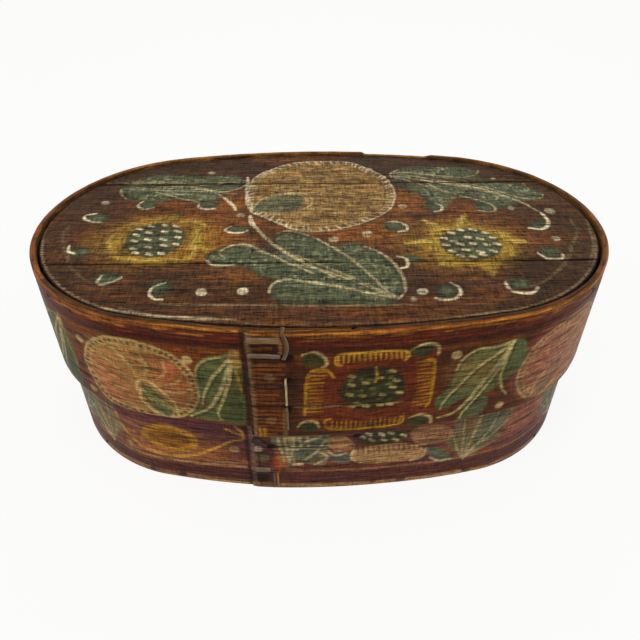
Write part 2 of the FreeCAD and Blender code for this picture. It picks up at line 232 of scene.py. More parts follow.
def addNode(tree, kind, settings=None, links=None):
    # one node with its settings and what feeds it; a setting that names no socket is the node's own
    node = tree.nodes.new(kind)
    for key, value in (settings or {}).items():
        if isinstance(key, int) or key in node.inputs:
            node.inputs[key].default_value = value
        else:
            setattr(node, key, value)
    for key, source in (links or {}).items():
        tree.links.new(source, node.inputs[key])
    return node


def freshMaterial(name):
    material = bpy.data.materials.new(name)
    material.use_nodes = True
    material.node_tree.nodes.clear()
    return material, material.node_tree


def setUpCamera():
    data = bpy.data.cameras.new("photoCamera")
    data.lens, data.sensor_width = view["lens"], view["sensor"]
    data.clip_start, data.clip_end = view["near"], view["far"]
    camera = bpy.data.objects.new("photoCamera", data)
    camera.location = view["place"]
    camera.rotation_euler = Vector(view["direction"]).to_track_quat("-Z", "Y").to_euler()
    bpy.context.scene.collection.objects.link(camera)
    bpy.context.scene.camera = camera


def addLamp(name, place, target, size, power, colour):
    data = bpy.data.lights.new(name, "AREA")
    data.shape, data.size, data.energy = "DISK", size, power
    data.color = linearColour(colour)
    lamp = bpy.data.objects.new(name, data)
    lamp.location = place
    lamp.rotation_euler = (Vector(target) - Vector(place)).to_track_quat("-Z", "Y").to_euler()
    bpy.context.scene.collection.objects.link(lamp)


def shownWhite(tree):
    # 1 where the eye sees the background itself, directly, mirrored or through glass
    ray = addNode(tree, "ShaderNodeLightPath")
    seen = addNode(tree, "ShaderNodeMath", {"operation": "ADD", "use_clamp": True},
                   {0: ray.outputs["Is Camera Ray"], 1: ray.outputs["Is Glossy Ray"]})
    return addNode(tree, "ShaderNodeMath", {"operation": "ADD", "use_clamp": True},
                   {0: seen.outputs[0], 1: ray.outputs["Is Transmission Ray"]}).outputs[0]


def setUpStage():
    reach, drop = studio["floorHalf"], -studio["floorDrop"]
    corners = [[[x, y, drop] for x in (-reach, reach)] for y in (reach, -reach)]
    floor = gridMesh("studioFloor", np.array(corners, float), False, False)
    # matt paper: part of its shadow stays, the rest shows pale to the camera
    paper, tree = freshMaterial("matt white paper")
    shade = addNode(tree, "ShaderNodeBsdfDiffuse", {"Color": (*linearColour(studio["floor"]), 1)})
    white = addNode(tree, "ShaderNodeEmission",
                    {"Color": (1, 1, 1, 1), "Strength": studio["floorGlow"]})
    seen = addNode(tree, "ShaderNodeMath", {"operation": "MULTIPLY", 1: studio["floorShown"]},
                   {0: shownWhite(tree)})
    mix = addNode(tree, "ShaderNodeMixShader", {}, {0: seen.outputs[0], 1: shade.outputs[0],
                                                    2: white.outputs[0]})
    addNode(tree, "ShaderNodeOutputMaterial", {}, {"Surface": mix.outputs[0]})
    floor.data.materials.append(paper)

    world = bpy.data.worlds.new("studioRoom")
    bpy.context.scene.world = world
    world.use_nodes = True
    tree = world.node_tree
    tree.nodes.clear()
    soft = addNode(tree, "ShaderNodeBackground", {"Color": (1, 1, 1, 1), "Strength": studio["world"]})
    white = addNode(tree, "ShaderNodeBackground", {"Color": (1, 1, 1, 1), "Strength": 1.0})
    mix = addNode(tree, "ShaderNodeMixShader", {}, {0: shownWhite(tree),
                                                    1: soft.outputs[0], 2: white.outputs[0]})
    addNode(tree, "ShaderNodeOutputWorld", {}, {"Surface": mix.outputs[0]})

    for lamp in studio["lamps"]:
        addLamp(*lamp)
    bpy.context.scene.view_settings.view_transform = "Standard"


setUpCamera()
setUpStage()
print("camera, floor and lamps are set")


# materials

paintNoise = {"Scale": 1.0, "Detail": 5.0, "Roughness": 0.72}
threadRange = (0.32, 0.68)   # pattern values of the darkest and the lightest brush thread
cloudShade = (0.84, 1.16)    # the darkest and the lightest of the slow areas over the board
paintRelief = 0.0005         # metres


def paintedPine(name, settings):
    # old oil paint on planed pine: rubbed off in short streaks along the grain, dark dirt in the
    # open rings, a thin brown varnish over all of it
    material, tree = freshMaterial(name)
    board = addNode(tree, "ShaderNodeAttribute", {"attribute_name": "board"}).outputs["Vector"]
    paint = addNode(tree, "ShaderNodeAttribute", {"attribute_name": "paint"})
    under = addNode(tree, "ShaderNodeAttribute", {"attribute_name": "under"})

    patterns = {}   # every size is in real millimetres, first along the grain, then across it
    for label, (along, across, seed) in settings["patterns"].items():
        place = addNode(tree, "ShaderNodeMapping",
                        {"Scale": (1 / along, 1 / across, 1 / across), "Location": (seed, seed, 0)},
                        {"Vector": board})
        patterns[label] = addNode(tree, "ShaderNodeTexNoise", paintNoise,
                                  {"Vector": place.outputs[0]}).outputs["Fac"]

    groove = addNode(tree, "ShaderNodeMapRange",
                     {"From Min": settings["grooveHigh"], "From Max": settings["grooveLow"]},
                     {"Value": patterns["ring"]}).outputs[0]
    thin = addNode(tree, "ShaderNodeMath", {"operation": "MULTIPLY_ADD", 1: settings["thinPull"]},
                   {0: under.outputs["Alpha"], 2: patterns["rub"]})
    gone = addNode(tree, "ShaderNodeMapRange",
                   {"From Min": settings["goneFrom"], "From Max": settings["goneTo"],
                    "To Max": settings["goneMost"]}, {"Value": thin.outputs[0]})
    colour = addNode(tree, "ShaderNodeMix", {"data_type": "RGBA"},
                     {0: gone.outputs[0], 6: paint.outputs["Color"], 7: under.outputs["Color"]})
    # brush marks and cross scratches show through as lighter and darker threads
    thread = addNode(tree, "ShaderNodeMath", {"operation": "MULTIPLY_ADD", 1: settings["crossShare"]},
                     {0: patterns["cross"], 2: patterns["brush"]})
    crossMiddle = 0.5 * settings["crossShare"]
    shade = addNode(tree, "ShaderNodeMapRange",
                    {"From Min": threadRange[0] + crossMiddle,
                     "From Max": threadRange[1] + crossMiddle, "To Min": settings["shadeLow"],
                     "To Max": settings["shadeHigh"]}, {"Value": thread.outputs[0]})
    cloud = addNode(tree, "ShaderNodeMapRange",
                    {"From Min": 0.35, "From Max": 0.65, "To Min": cloudShade[0],
                     "To Max": cloudShade[1]}, {"Value": patterns["cloud"]})
    dirt = addNode(tree, "ShaderNodeMapRange", {"To Min": 1.0, "To Max": settings["grooveShade"]},
                   {"Value": groove})
    dull = addNode(tree, "ShaderNodeMath", {"operation": "MULTIPLY"},
                   {0: shade.outputs[0], 1: cloud.outputs[0]})
    dull = addNode(tree, "ShaderNodeMath", {"operation": "MULTIPLY"},
                   {0: dull.outputs[0], 1: dirt.outputs[0]})
    finish = addNode(tree, "ShaderNodeVectorMath", {"operation": "SCALE"},
                     {0: colour.outputs[2], "Scale": dull.outputs[0]})
    finish = addNode(tree, "ShaderNodeVectorMath", {"operation": "MULTIPLY",
                     1: settings["varnish"]}, {0: finish.outputs[0]})

    lift = addNode(tree, "ShaderNodeMath", {"operation": "MULTIPLY_ADD", 1: 0.5},
                   {0: thread.outputs[0], 2: dirt.outputs[0]})
    bump = addNode(tree, "ShaderNodeBump", {"Strength": settings["bump"], "Distance": paintRelief},
                   {"Height": lift.outputs[0]})
    gloss = addNode(tree, "ShaderNodeMapRange",
                    {"From Min": 0.3, "From Max": 0.7, "To Min": settings["roughLow"],
                     "To Max": settings["roughHigh"]}, {"Value": patterns["cloud"]})
    surface = addNode(tree, "ShaderNodeBsdfPrincipled",
                      {"IOR": 1.47, "Specular IOR Level": settings["gloss"]},
                      {"Base Color": finish.outputs[0], "Roughness": gloss.outputs[0],
                       "Normal": bump.outputs[0]})
    addNode(tree, "ShaderNodeOutputMaterial", {}, {"Surface": surface.outputs[0]})
    return material


lidPaintFinish = {
    "patterns": {"ring": (50, 1.5, 3.7), "rub": (8, 1.2, 11.2), "brush": (10, 1.25, 5.4),
                 "cross": (1.3, 9, 8.8), "cloud": (24.0, 8.0, 23.1)},
    "grooveHigh": 0.45, "grooveLow": 0.37, "grooveShade": 0.34, "thinPull": 0.30,
    "goneFrom": 0.63, "goneTo": 0.73, "goneMost": 0.85, "shadeLow": 0.05, "shadeHigh": 2.25,
    "crossShare": 0.7, "varnish": (0.97, 0.885, 0.64), "bump": 0.6, "roughLow": 0.46,
    "roughHigh": 0.62, "gloss": 0.07,
}
wallPaintFinish = {
    "patterns": {"ring": (80, 1.6, 4.9), "rub": (11, 1.3, 7.7), "brush": (12, 1.1, 2.4),
                 "cross": (1.3, 8.0, 6.8), "cloud": (30.0, 8.0, 13.1)},
    "grooveHigh": 0.43, "grooveLow": 0.36, "grooveShade": 0.42, "thinPull": 0.30,
    "goneFrom": 0.65, "goneTo": 0.75, "goneMost": 0.8, "shadeLow": 0.15, "shadeHigh": 2.05,
    "crossShare": 0.45, "varnish": (1.02, 0.93, 0.62), "bump": 0.45, "roughLow": 0.42,
    "roughHigh": 0.56, "gloss": 0.07,
}
boxPaintFinish = dict(wallPaintFinish, varnish=(1.06, 0.96, 0.86))

lidBoardMaterial = paintedPine("pine boards with worn oil paint", lidPaintFinish)
lidWallMaterial = paintedPine("bent pine with worn red-brown oil paint", wallPaintFinish)
boxWallMaterial = paintedPine("bent pine with faded purple-brown oil paint", boxPaintFinish)


# painting: strokes in millimetres laid over each other

def smoothLine(points, steps=6, closed=False):
    # soft curve through the given points
    p = np.array(points, float)
    if closed:
        p = np.vstack([p[-1], p, p[0], p[1]])
    else:
        p = np.vstack([2 * p[0] - p[1], p, 2 * p[-1] - p[-2]])
    t = np.linspace(0, 1, steps, endpoint=False)[:, None]
    parts = []
    for a, b, c, d in zip(p[:-3], p[1:-2], p[2:-1], p[3:]):
        parts.append(0.5 * (2 * b + (c - a) * t + (2 * a - 5 * b + 4 * c - d) * t ** 2
                            + (3 * b - a - 3 * c + d) * t ** 3))
    line = np.vstack(parts)
    return line if closed else np.vstack([line, p[-2]])


brush = {"wobbleLong": 9, "wobbleShort": 7, "wobble": 0.8, "dotWobble": 0.9,
         "streakLong": 5, "streakShort": 1.6, "load": 0.72, "loadVaries": 0.4,
         "patchLong": 14, "patchShort": 3.5, "patchLoad": 0.82, "patchVaries": 0.30}


class Painting:
    # colours laid on the points of a surface; place holds each point's two board lengths
    def __init__(self, place, ground, under, thin):
        self.x, self.y = place[:, 0], place[:, 1]
        self.every = np.arange(len(place))
        self.paint = np.tile(linearColour(ground), (len(place), 1))
        self.under = np.tile(linearColour(under), (len(place), 1))
        self.thin = np.full(len(place), float(thin))
        reach = brush["wobbleLong"], brush["wobbleShort"]
        self.wobbleX = mottle(self.x, self.y, *reach, 71) - 0.5
        self.wobbleY = mottle(self.x, self.y, *reach, 72) - 0.5

    def near(self, low, high, reach):
        inX = (self.x > low[0] - reach) & (self.x < high[0] + reach)
        return np.nonzero(inX & (self.y > low[1] - reach) & (self.y < high[1] + reach))[0]

    def wobbled(self, where, share):
        # the same places as an unsteady hand finds them
        return (self.x[where] + self.wobbleX[where] * share,
                self.y[where] + self.wobbleY[where] * share)

    def lay(self, where, cover, colour, thin=None):
        cover = np.clip(cover, 0, 1)[:, None]
        self.paint[where] = self.paint[where] * (1 - cover) + np.array(linearColour(colour)) * cover
        if thin is not None:
            self.thin[where] = self.thin[where] * (1 - cover[:, 0]) + thin * cover[:, 0]

    def wash(self, colour, amount, sizeX, sizeY, seed, low=0.35, high=0.75, mask=None):
        # uneven tint over the whole surface, or over the part in the mask
        cover = amount * ease(mottle(self.x, self.y, sizeX, sizeY, seed), low, high)
        if mask is not None:
            cover = cover * mask
        self.lay(self.every, cover, colour)

    def lineDistance(self, where, line):
        # how far each place is from the line, and how far along the line that is
        px, py = self.wobbled(where, brush["wobble"])
        best = np.full(len(where), 1e9)
        share = np.zeros(len(where))
        lengths = np.hypot(*np.diff(line, axis=0).T)
        total = max(lengths.sum(), 1e-6)
        done = 0.0
        for a, b, length in zip(line[:-1], line[1:], lengths):
            if length > 1e-9:
                d = b - a
                t = np.clip(((px - a[0]) * d[0] + (py - a[1]) * d[1]) / length ** 2, 0, 1)
                gap = np.hypot(px - a[0] - d[0] * t, py - a[1] - d[1] * t)
                closer = gap < best
                best[closer] = gap[closer]
                share[closer] = (done + t[closer] * length) / total
            done += length
        return best, share

    def stroke(self, points, width, colour, amount=1.0, taper=(1.0, 1.0), soft=0.6, smooth=True):
        # brush stroke: width in millimetres, taper gives its share at the start and the end
        line = smoothLine(points) if smooth and len(points) > 2 else np.array(points, float)
        where = self.near(line.min(0), line.max(0), width + 2)
        if len(where) == 0:
            return
        gap, share = self.lineDistance(where, line)
        across = width / 2 * np.where(share < 0.5, taper[0] + (1 - taper[0]) * ease(share, 0, 0.5),
                                      1 + (taper[1] - 1) * ease(share, 0.5, 1))
        cover = 1 - ease(gap, across - soft, across + soft)
        streak = mottle(self.x[where], self.y[where], brush["streakLong"], brush["streakShort"], 5)
        self.lay(where, cover * amount * (brush["load"] + brush["loadVaries"] * streak), colour,
                 -0.25)

    def patch(self, outline, colour, amount=1.0, soft=0.8, thin=0.1, smooth=True):
        # filled form with a painted edge
        ring = smoothLine(outline, closed=True) if smooth else np.array(outline, float)
        where = self.near(ring.min(0), ring.max(0), 4)
        if len(where) == 0:
            return where, 0.0
        closed = np.vstack([ring, ring[0]])
        gap, _ = self.lineDistance(where, closed)
        px, py = self.wobbled(where, brush["wobble"])
        inside = np.zeros(len(where), bool)
        for a, b in zip(closed[:-1], closed[1:]):
            if a[1] != b[1]:
                crosses = (a[1] > py) != (b[1] > py)
                at = a[0] + (py - a[1]) * (b[0] - a[0]) / (b[1] - a[1])
                inside ^= crosses & (px < at)
        depth = np.where(inside, gap, -gap)
        cover = ease(depth, -soft, soft)
        uneven = brush["patchLoad"] + brush["patchVaries"] * mottle(
            self.x[where], self.y[where], brush["patchLong"], brush["patchShort"], 8)
        self.lay(where, cover * amount * np.minimum(uneven, 1.0), colour, thin)
        return where, cover

    def dot(self, x, y, rx, ry, colour, amount=1.0, soft=0.8):
        where = self.near(np.array([x - rx, y - ry]), np.array([x + rx, y + ry]), 3)
        if len(where) == 0:
            return
        px, py = self.wobbled(where, brush["dotWobble"])
        out = (np.hypot((px - x) / rx, (py - y) / ry) - 1) * min(rx, ry)
        cover = 1 - ease(out, -soft, soft)
        self.lay(where, cover * amount, colour, -0.1)

    def glow(self, x, y, rx, ry, colour, amount, power):
        # colour rubbed out softly towards its edge
        out = np.hypot((self.x - x) / rx, (self.y - y) / ry)
        cover = amount * np.clip(1 - out, 0, 1) ** power
        self.lay(self.every, cover, colour)

    def band(self, low, high, colour, amount, soft=0.8):
        # stripe running level along the wall, a little uneven
        up = self.y + 2.0 * (mottle(self.x, self.x * 0, 45, 9, 91) - 0.5)
        cover = ease(up, low - soft, low + soft) * (1 - ease(up, high - soft, high + soft))
        uneven = 0.75 + 0.4 * mottle(self.x, self.y, 30, 3, 92)
        self.lay(self.every, cover * amount * uneven, colour)


def drawnIn(points, middle, distance):
    # the same ring, drawn in towards its middle
    ring = np.array(points, float)
    arm = ring - middle
    length = np.hypot(arm[:, 0], arm[:, 1])[:, None]
    return ring - arm / length * distance


# the painting round the sides: u along the wall, z up, in millimetres

sideColours = {
    "leaf": "#4e5a40", "leafDark": "#2e351f", "teal": "#4f5c4c", "sage": "#686a4c",
    "cream": "#a0946e", "creamBright": "#b8ab86", "pink": "#a06850", "tan": "#94714c",
    "rose": "#8a3c2a", "yellow": "#9e7622", "yellowBright": "#b08a36", "orange": "#8c4e1e",
    "brick": "#5e2816", "maroon": "#381512", "plum": "#42262a", "wine": "#4e2a24", "umber": "#2a160d",
    "rim": "#9a5a2a", "lapGrey": "#66544c", "straw": "#9a7c52", "pitch": "#120a07", "gold": "#c0843c",
}
pinkRing = [(-177, 117), (-174, 127), (-168, 138), (-158, 146), (-148, 151), (-136, 152),
            (-124, 151), (-112, 148), (-103, 144), (-96, 138), (-91, 130), (-88, 120), (-87, 108),
            (-90, 98), (-96, 88), (-104, 82), (-118, 80), (-136, 79), (-152, 81), (-162, 84),
            (-170, 92), (-175, 104)]


def shifted(points, by, flip=1, about=0.0):
    # the same form moved along the wall, and turned over when flip is -1
    return [(about + flip * (x - about) + by, z) for x, z in points]


def comb(p, spine, teeth, step, width, colour, amount, bare):
    # petal edge with fine teeth, all drawn the same way
    line = smoothLine(spine, 8)
    run = np.concatenate([[0], np.cumsum(np.hypot(*np.diff(line, axis=0).T))])
    p.stroke(line, width, colour, amount, (0.7, 0.7), smooth=False)
    for at in np.arange(bare[0] + step / 2, run[-1] - bare[1], step):
        root = np.array([np.interp(at, run, line[:, 0]), np.interp(at, run, line[:, 1])])
        p.stroke([root, root + teeth], 1.5, colour, amount * 0.9, (1, 0.5), 0.5)


def paintRoundFlower(p, by, flip=1):
    c = sideColours
    about = -132.0
    ring = shifted(pinkRing, by, flip, about)
    middle = np.array([about + by, 115.0])
    p.patch(ring, c["tan"], 0.9, 1.0)
    for x, z, rx, rz, colour, amount in [(-160, 105, 22, 30, "pink", 0.9),
                                         (-104, 125, 20, 32, "rose", 0.7),
                                         (-140, 100, 24, 14, "pink", 0.5),
                                         (-150, 136, 26, 14, "straw", 0.7)]:
        (cx, cz), = shifted([(x, z)], by, flip, about)
        p.glow(cx, cz, rx, rz, c[colour], amount, 0.8)
    for k in range(17):
        turn = math.radians(-20 + 14.5 * k)
        out = np.array([math.cos(turn) * 38, math.sin(turn) * 29])
        tip, root = out + (-132, 115), out * 0.35 + (-128, 108)
        bent = (tip + root) / 2 + (4, -2)
        petal = shifted([tuple(tip), tuple(bent), tuple(root)], by, flip, about)
        p.stroke(petal, 2.2, c["creamBright"] if k % 2 else c["pink"], 0.4, (1, 0.3))
        p.stroke(shifted([tuple(tip + 2), tuple(bent + 2)], by, flip, about), 1.3, c["rose"], 0.45,
                 (1, 0.4))
    line = smoothLine(ring, closed=True)
    inner = smoothLine(drawnIn(ring, middle, 5.5), closed=True)
    p.stroke(line, 1.6, c["creamBright"], 0.6, smooth=False)
    p.stroke(inner, 1.4, c["cream"], 0.5, smooth=False)
    steps = np.linspace(0, len(line) - 1, 52).astype(int)
    for a, b in zip(steps[:-1], steps[1:]):
        p.stroke([line[a], inner[(a + b) // 2]], 2.0, c["cream"], 0.55, smooth=False)
        spot = (line[(a + b) // 2] + inner[b]) / 2
        p.dot(spot[0], spot[1], 1.5, 1.1, c["umber"], 0.7, 0.5)
    p.patch(shifted([(-130, 108), (-127, 111), (-118, 104), (-111, 93), (-110, 84), (-116, 82),
                     (-124, 88), (-130, 98)], by, flip, about), c["leaf"], 0.95)
    for points in ([(-134, 105), (-131, 114), (-124, 115), (-114, 106), (-107, 95), (-106, 84)],
                   [(-131, 106), (-133, 96), (-126, 86), (-116, 80)]):
        p.stroke(shifted(points, by, flip, about), 2.2, c["creamBright"], 0.75)
    for k in range(5):
        p.stroke(shifted([(-129 + 4 * k, 106 - 3 * k), (-124 + 4 * k, 95 - 2 * k)], by, flip,
                         about), 1.4, c["cream"], 0.8)


def paintHeartLeaf(p, by, flip=1, wide=1.0):
    # apex at the top right, veins falling away from it
    c = sideColours
    about = -58.0

    def put(points):
        return shifted([(about + (x - about) * wide, z) for x, z in points], by, flip, about)

    p.patch(put([(-58, 150), (-70, 147), (-80, 144), (-87, 133), (-88, 120), (-87, 104),
                 (-92, 92), (-98, 83), (-80, 82), (-66, 82), (-56, 83), (-54, 100), (-53, 125)]),
            c["leaf"], 0.95)
    p.patch(put([(-66, 110), (-58, 116), (-56, 86), (-66, 84), (-74, 86)]), c["leafDark"], 0.6, 2)
    for points, width, colour in [
            ([(-60, 148), (-72, 145), (-82, 140), (-87, 130), (-87, 122)], 2.2, "cream"),
            ([(-61, 147), (-70, 134), (-78, 122), (-83, 110), (-86, 98)], 2.4, "creamBright"),
            ([(-61, 146), (-66, 128), (-73, 110), (-82, 95), (-96, 84)], 2.8, "creamBright"),
            ([(-60, 146), (-64, 126), (-70, 106), (-75, 92), (-73, 84)], 2.4, "creamBright"),
            ([(-58, 146), (-58, 130), (-56, 116), (-53, 107)], 2.2, "yellow")]:
        # a painted shadow below and right of each vein, then the vein
        p.stroke(put([(x + 1.6, z - 1.2) for x, z in points]), width, c["leafDark"], 0.6, (1, 0.6))
        p.stroke(put(points), width, c[colour], 0.68, (1, 0.6))
    p.stroke(put([(-59, 150), (-59, 138)]), 5.0, c["straw"], 0.7, (1, 0.4))


def paintSquareFlower(p, by):
    c = sideColours
    p.patch(shifted([(-10, 150), (78, 150), (78, 82), (-12, 82)], by), c["brick"], 0.8, 3,
            smooth=False)
    for spine, teeth, colour, bare in [
            ([(12, 142), (8, 143), (8, 149), (12, 151.5), (30, 152), (52, 151), (57, 146),
              (54, 142)], (0.6, -8.0), "yellowBright", (11, 9)),
            ([(7, 131), (2, 138), (-5, 139), (-10, 134), (-12, 118), (-13, 95)],
             (12.0, 0.4), "yellow", (19, 0)),
            ([(68, 140), (75, 139), (76, 118), (76, 100), (73, 94)], (-12.0, -0.4), "yellow",
             (6, 2)),
            ([(5, 90), (1, 88), (2, 82), (8, 79), (30, 78), (54, 79), (58, 84), (55, 88)],
             (0.4, 8.5), "yellow", (14, 8))]:
        comb(p, shifted(spine, by), np.array(teeth), 3.5, 2.4, c[colour], 0.85, bare)
    p.dot(34 + by, 118, 22.5, 21, "#2b2d1a", 0.95, 1.6)
    p.dot(34 + by, 118, 15, 14, c["leafDark"], 0.6, 5)
    for k in range(26):
        turn, out = 2.4 * k, 4.0 * math.sqrt(k)
        x, z = 34 + out * math.cos(turn) + by, 118 + out * 0.9 * math.sin(turn)
        p.dot(x, z, 2.2, 1.4, c["umber"] if k % 2 else c["sage"], 0.5, 0.7)
    for x, z in [(19, 131), (19, 123), (29, 124), (18, 114), (27, 112), (24, 104), (20, 102),
                 (30, 101), (40, 101), (47, 101), (41, 111), (48, 118), (50, 124), (47, 133),
                 (38, 128), (53, 112)]:
        p.stroke(shifted([(x - 1.5, z + 0.6), (x + 1.6, z - 0.6)], by), 2.6, c["cream"], 0.7)
        # a painted shadow below and right of each seed mark
        p.dot(x + 3 + by, z - 3, 2.6, 1.6, c["umber"], 0.6)
    p.stroke(shifted([(35, 138), (36, 130), (35, 124)], by), 2.0, c["yellowBright"], 0.7)
    p.stroke(shifted([(30, 136), (33, 128), (42, 132)], by), 1.6, c["umber"], 0.8)
    for x, z, line in [(-6, 147, [(-14, 152), (-6, 154), (0, 150), (2, 143), (-1, 141)]),
                       (65, 149, [(58, 151), (68, 155), (76, 152), (77, 145)]),
                       (-10, 83, [(-18, 82), (-14, 88), (-6, 88), (-3, 82)]),
                       (69, 80, [(62, 84), (70, 87), (78, 83), (79, 76)])]:
        p.dot(x + by, z, 8, 6, c["leafDark"], 0.9, 1.4)
        p.stroke(shifted(line, by), 2.4, c["creamBright"], 0.75, (0.6, 0.8))


def paintLidSide(p):
    c = sideColours
    p.wash(c["umber"], 0.55, 70, 5, 121)
    p.wash(c["orange"], 0.35, 60, 9, 122)
    p.glow(70, 150, 190, 130, c["umber"], 0.62, 0.5)
    # the tan band from 69 to 72.4 mm, along the lid's lower edge, is a painted highlight
    for low, high, colour, amount in [(158, 166, "brick", 0.9), (153, 158.5, "maroon", 0.75),
                                      (160, 161.5, "maroon", 0.8), (163.2, 164.4, "umber", 0.6),
                                      (166.2, 167.2, "pitch", 0.6), (148, 152, "orange", 0.3),
                                      (72.6, 77, "umber", 0.45), (69, 72.4, "tan", 0.4),
                                      (167.4, 175, "rim", 0.95), (168.2, 169.3, "gold", 0.7)]:
        p.band(low, high, c[colour], amount)
    p.wash(c["gold"], 0.38, 9, 1.4, 145, 0.5, 0.85, (p.y > 163) & (p.y < 167.4))
    half = girth / 2
    for by in (half - 34, -half - 34, 281, -296):
        paintSquareFlower(p, by)
    for by, flip in ((0, 1), (318, -1), (572, 1), (-263, -1)):
        paintRoundFlower(p, by, flip)
    # the right one is rubbed pink, its petals only fans of fine strokes
    p.glow(184, 116, 52, 44, "#92605a", 0.8, 0.45)
    for k in range(9):
        high = 142 - 7 * k
        p.stroke([(148 + 2 * abs(k - 4), high), (166, high + 8), (190, high + 5), (206, high - 6)],
                 1.8, "#b48a7c" if k % 2 else "#6e3438", 0.5, (1, 0.4))
    p.glow(232, 110, 60, 80, "#8e7468", 0.4, 0.6)
    for by, flip, wide in ((0, 1, 1), (-137, 1, 1.1), (303, -1, 1.2), (443, -1, 1.2),
                           (558, 1, 1), (-272, 1, 1.1), (-397, -1, 1.1), (-450, 1, 1.1)):
        paintHeartLeaf(p, by, flip, wide)
    paintSquareFlower(p, 0)
    p.patch([(131, 149), (118, 146), (104, 144), (94, 137), (91, 122), (88, 110), (80, 100),
             (84, 90), (92, 92), (104, 100), (118, 100), (128, 108), (142, 122), (143, 138),
             (138, 147)], c["leaf"], 0.95)
    p.patch([(106, 98), (120, 96), (120, 84), (112, 74), (100, 74), (102, 86)], c["teal"], 0.8)
    p.glow(106, 124, 26, 22, c["straw"], 0.4, 0.8)
    for points, width in [
            ([(131, 148), (118, 144), (104, 144), (95, 137), (92, 128)], 2.4),
            ([(130, 146), (118, 136), (106, 126), (96, 112), (87, 98), (85, 90)], 2.4),
            ([(130, 146), (124, 130), (114, 112), (104, 94), (96, 84), (84, 81)], 3.4),
            ([(130, 146), (126, 128), (118, 110), (108, 92), (102, 80), (101, 73)], 2.4),
            ([(130, 146), (128, 130), (127, 116), (130, 102), (135, 95)], 2.6)]:
        # a painted shadow below and right of each vein, then the vein
        p.stroke([(x + 1.6, z - 1.4) for x, z in points], width, c["leafDark"], 0.6, (1, 0.6))
        p.stroke(points, width, c["creamBright"], 0.62, (1, 0.6))
    p.patch([(-62, 152), (-54, 151), (-53, 140), (-60, 138)], c["straw"], 0.8)
    for x, z in [(-36, 131), (-37, 89), (90, 142), (132, 84), (-176, 138), (-92, 140), (-178, 88)]:
        p.dot(x, z, 3.6, 3.6, c["creamBright"], 0.65)
    # the lapped end of the board: a painted shadow line beside its edge, the bevel grey, partly end
    # grain and partly a painted highlight, and dark round the sewing
    p.patch([(-45, 168), (-18, 168), (-18, 150), (-18, 74), (-45, 74)], c["umber"], 0.6, 4,
            smooth=False)
    p.stroke([(-52.6, 72), (-52.0, 168)], 5.0, c["umber"], 0.95, smooth=False)
    p.stroke([(-48.8, 72), (-47.8, 100), (-48.4, 135), (-47.4, 168)], 2.8, c["lapGrey"], 0.85)
    p.stroke([(-45.2, 72), (-44.4, 110), (-44.2, 150)], 1.8, c["pitch"], 0.7)
    # the binding round the two straps: the hollow between them painted dark as its shade, its left
    # edge grey, partly a painted highlight, and a painted highlight down the bar at its right
    p.patch([(-47, 163), (-31, 163), (-30, 158), (-31, 153), (-47, 153)], c["umber"], 0.8, 1.5)
    p.stroke([(-47, 156.5), (-34, 157)], 2.4, c["orange"], 0.5)
    p.stroke([(-30, 167), (-27.6, 163), (-27.4, 156), (-29.5, 150.5)], 2.6, c["tan"], 0.6)
    p.stroke([(-48.5, 167), (-49, 158), (-48, 151)], 3.6, c["lapGrey"], 0.8)
    p.stroke([(-47, 148.2), (-30, 148.2)], 1.8, c["pitch"], 0.8)
    p.stroke([(-47, 162.2), (-31, 162.2)], 1.6, c["pitch"], 0.8)
    for z in range(75, 147, 4):
        reach = -33 + 8 * mottle(z, 0, 3, 1, 143)
        p.stroke([(-46, z), (reach, z)], 2.0, c["orange"], 0.28 + 0.3 * mottle(z, 9, 9, 1, 144))
        p.stroke([(-47, z + 2), (reach - 4, z + 2)], 1.3, c["pitch"], 0.55)
    for x in (-45, -41.5):
        p.stroke([(x - 0.5, 80), (x, 69)], 2.2, c["yellow"], 0.7)
    # the holes are painted near black: painted shade inside them
    for x, z, rx, rz in [(-24, 149.5, 5, 3), (-24, 129.5, 4, 2.6), (-26, 104, 3, 2),
                         (-25, 100, 3.5, 4)]:
        p.dot(x, z, rx, rz, c["pitch"], 0.95, 1.0)
    p.stroke([(-48, 103), (-30, 103.5), (0, 104), (30, 103.5), (62, 103)], 1.6, c["pitch"], 0.9)
    p.stroke([(-20, 103), (0, 103.0), (30, 102.4), (56, 102)], 0.9, c["creamBright"], 0.5)
    p.stroke([(-27, 72), (-27, 100)], 3.0, c["straw"], 0.35)
    p.wash("#2a130b", 0.5, 30, 1.8, 123, 0.55, 0.85)


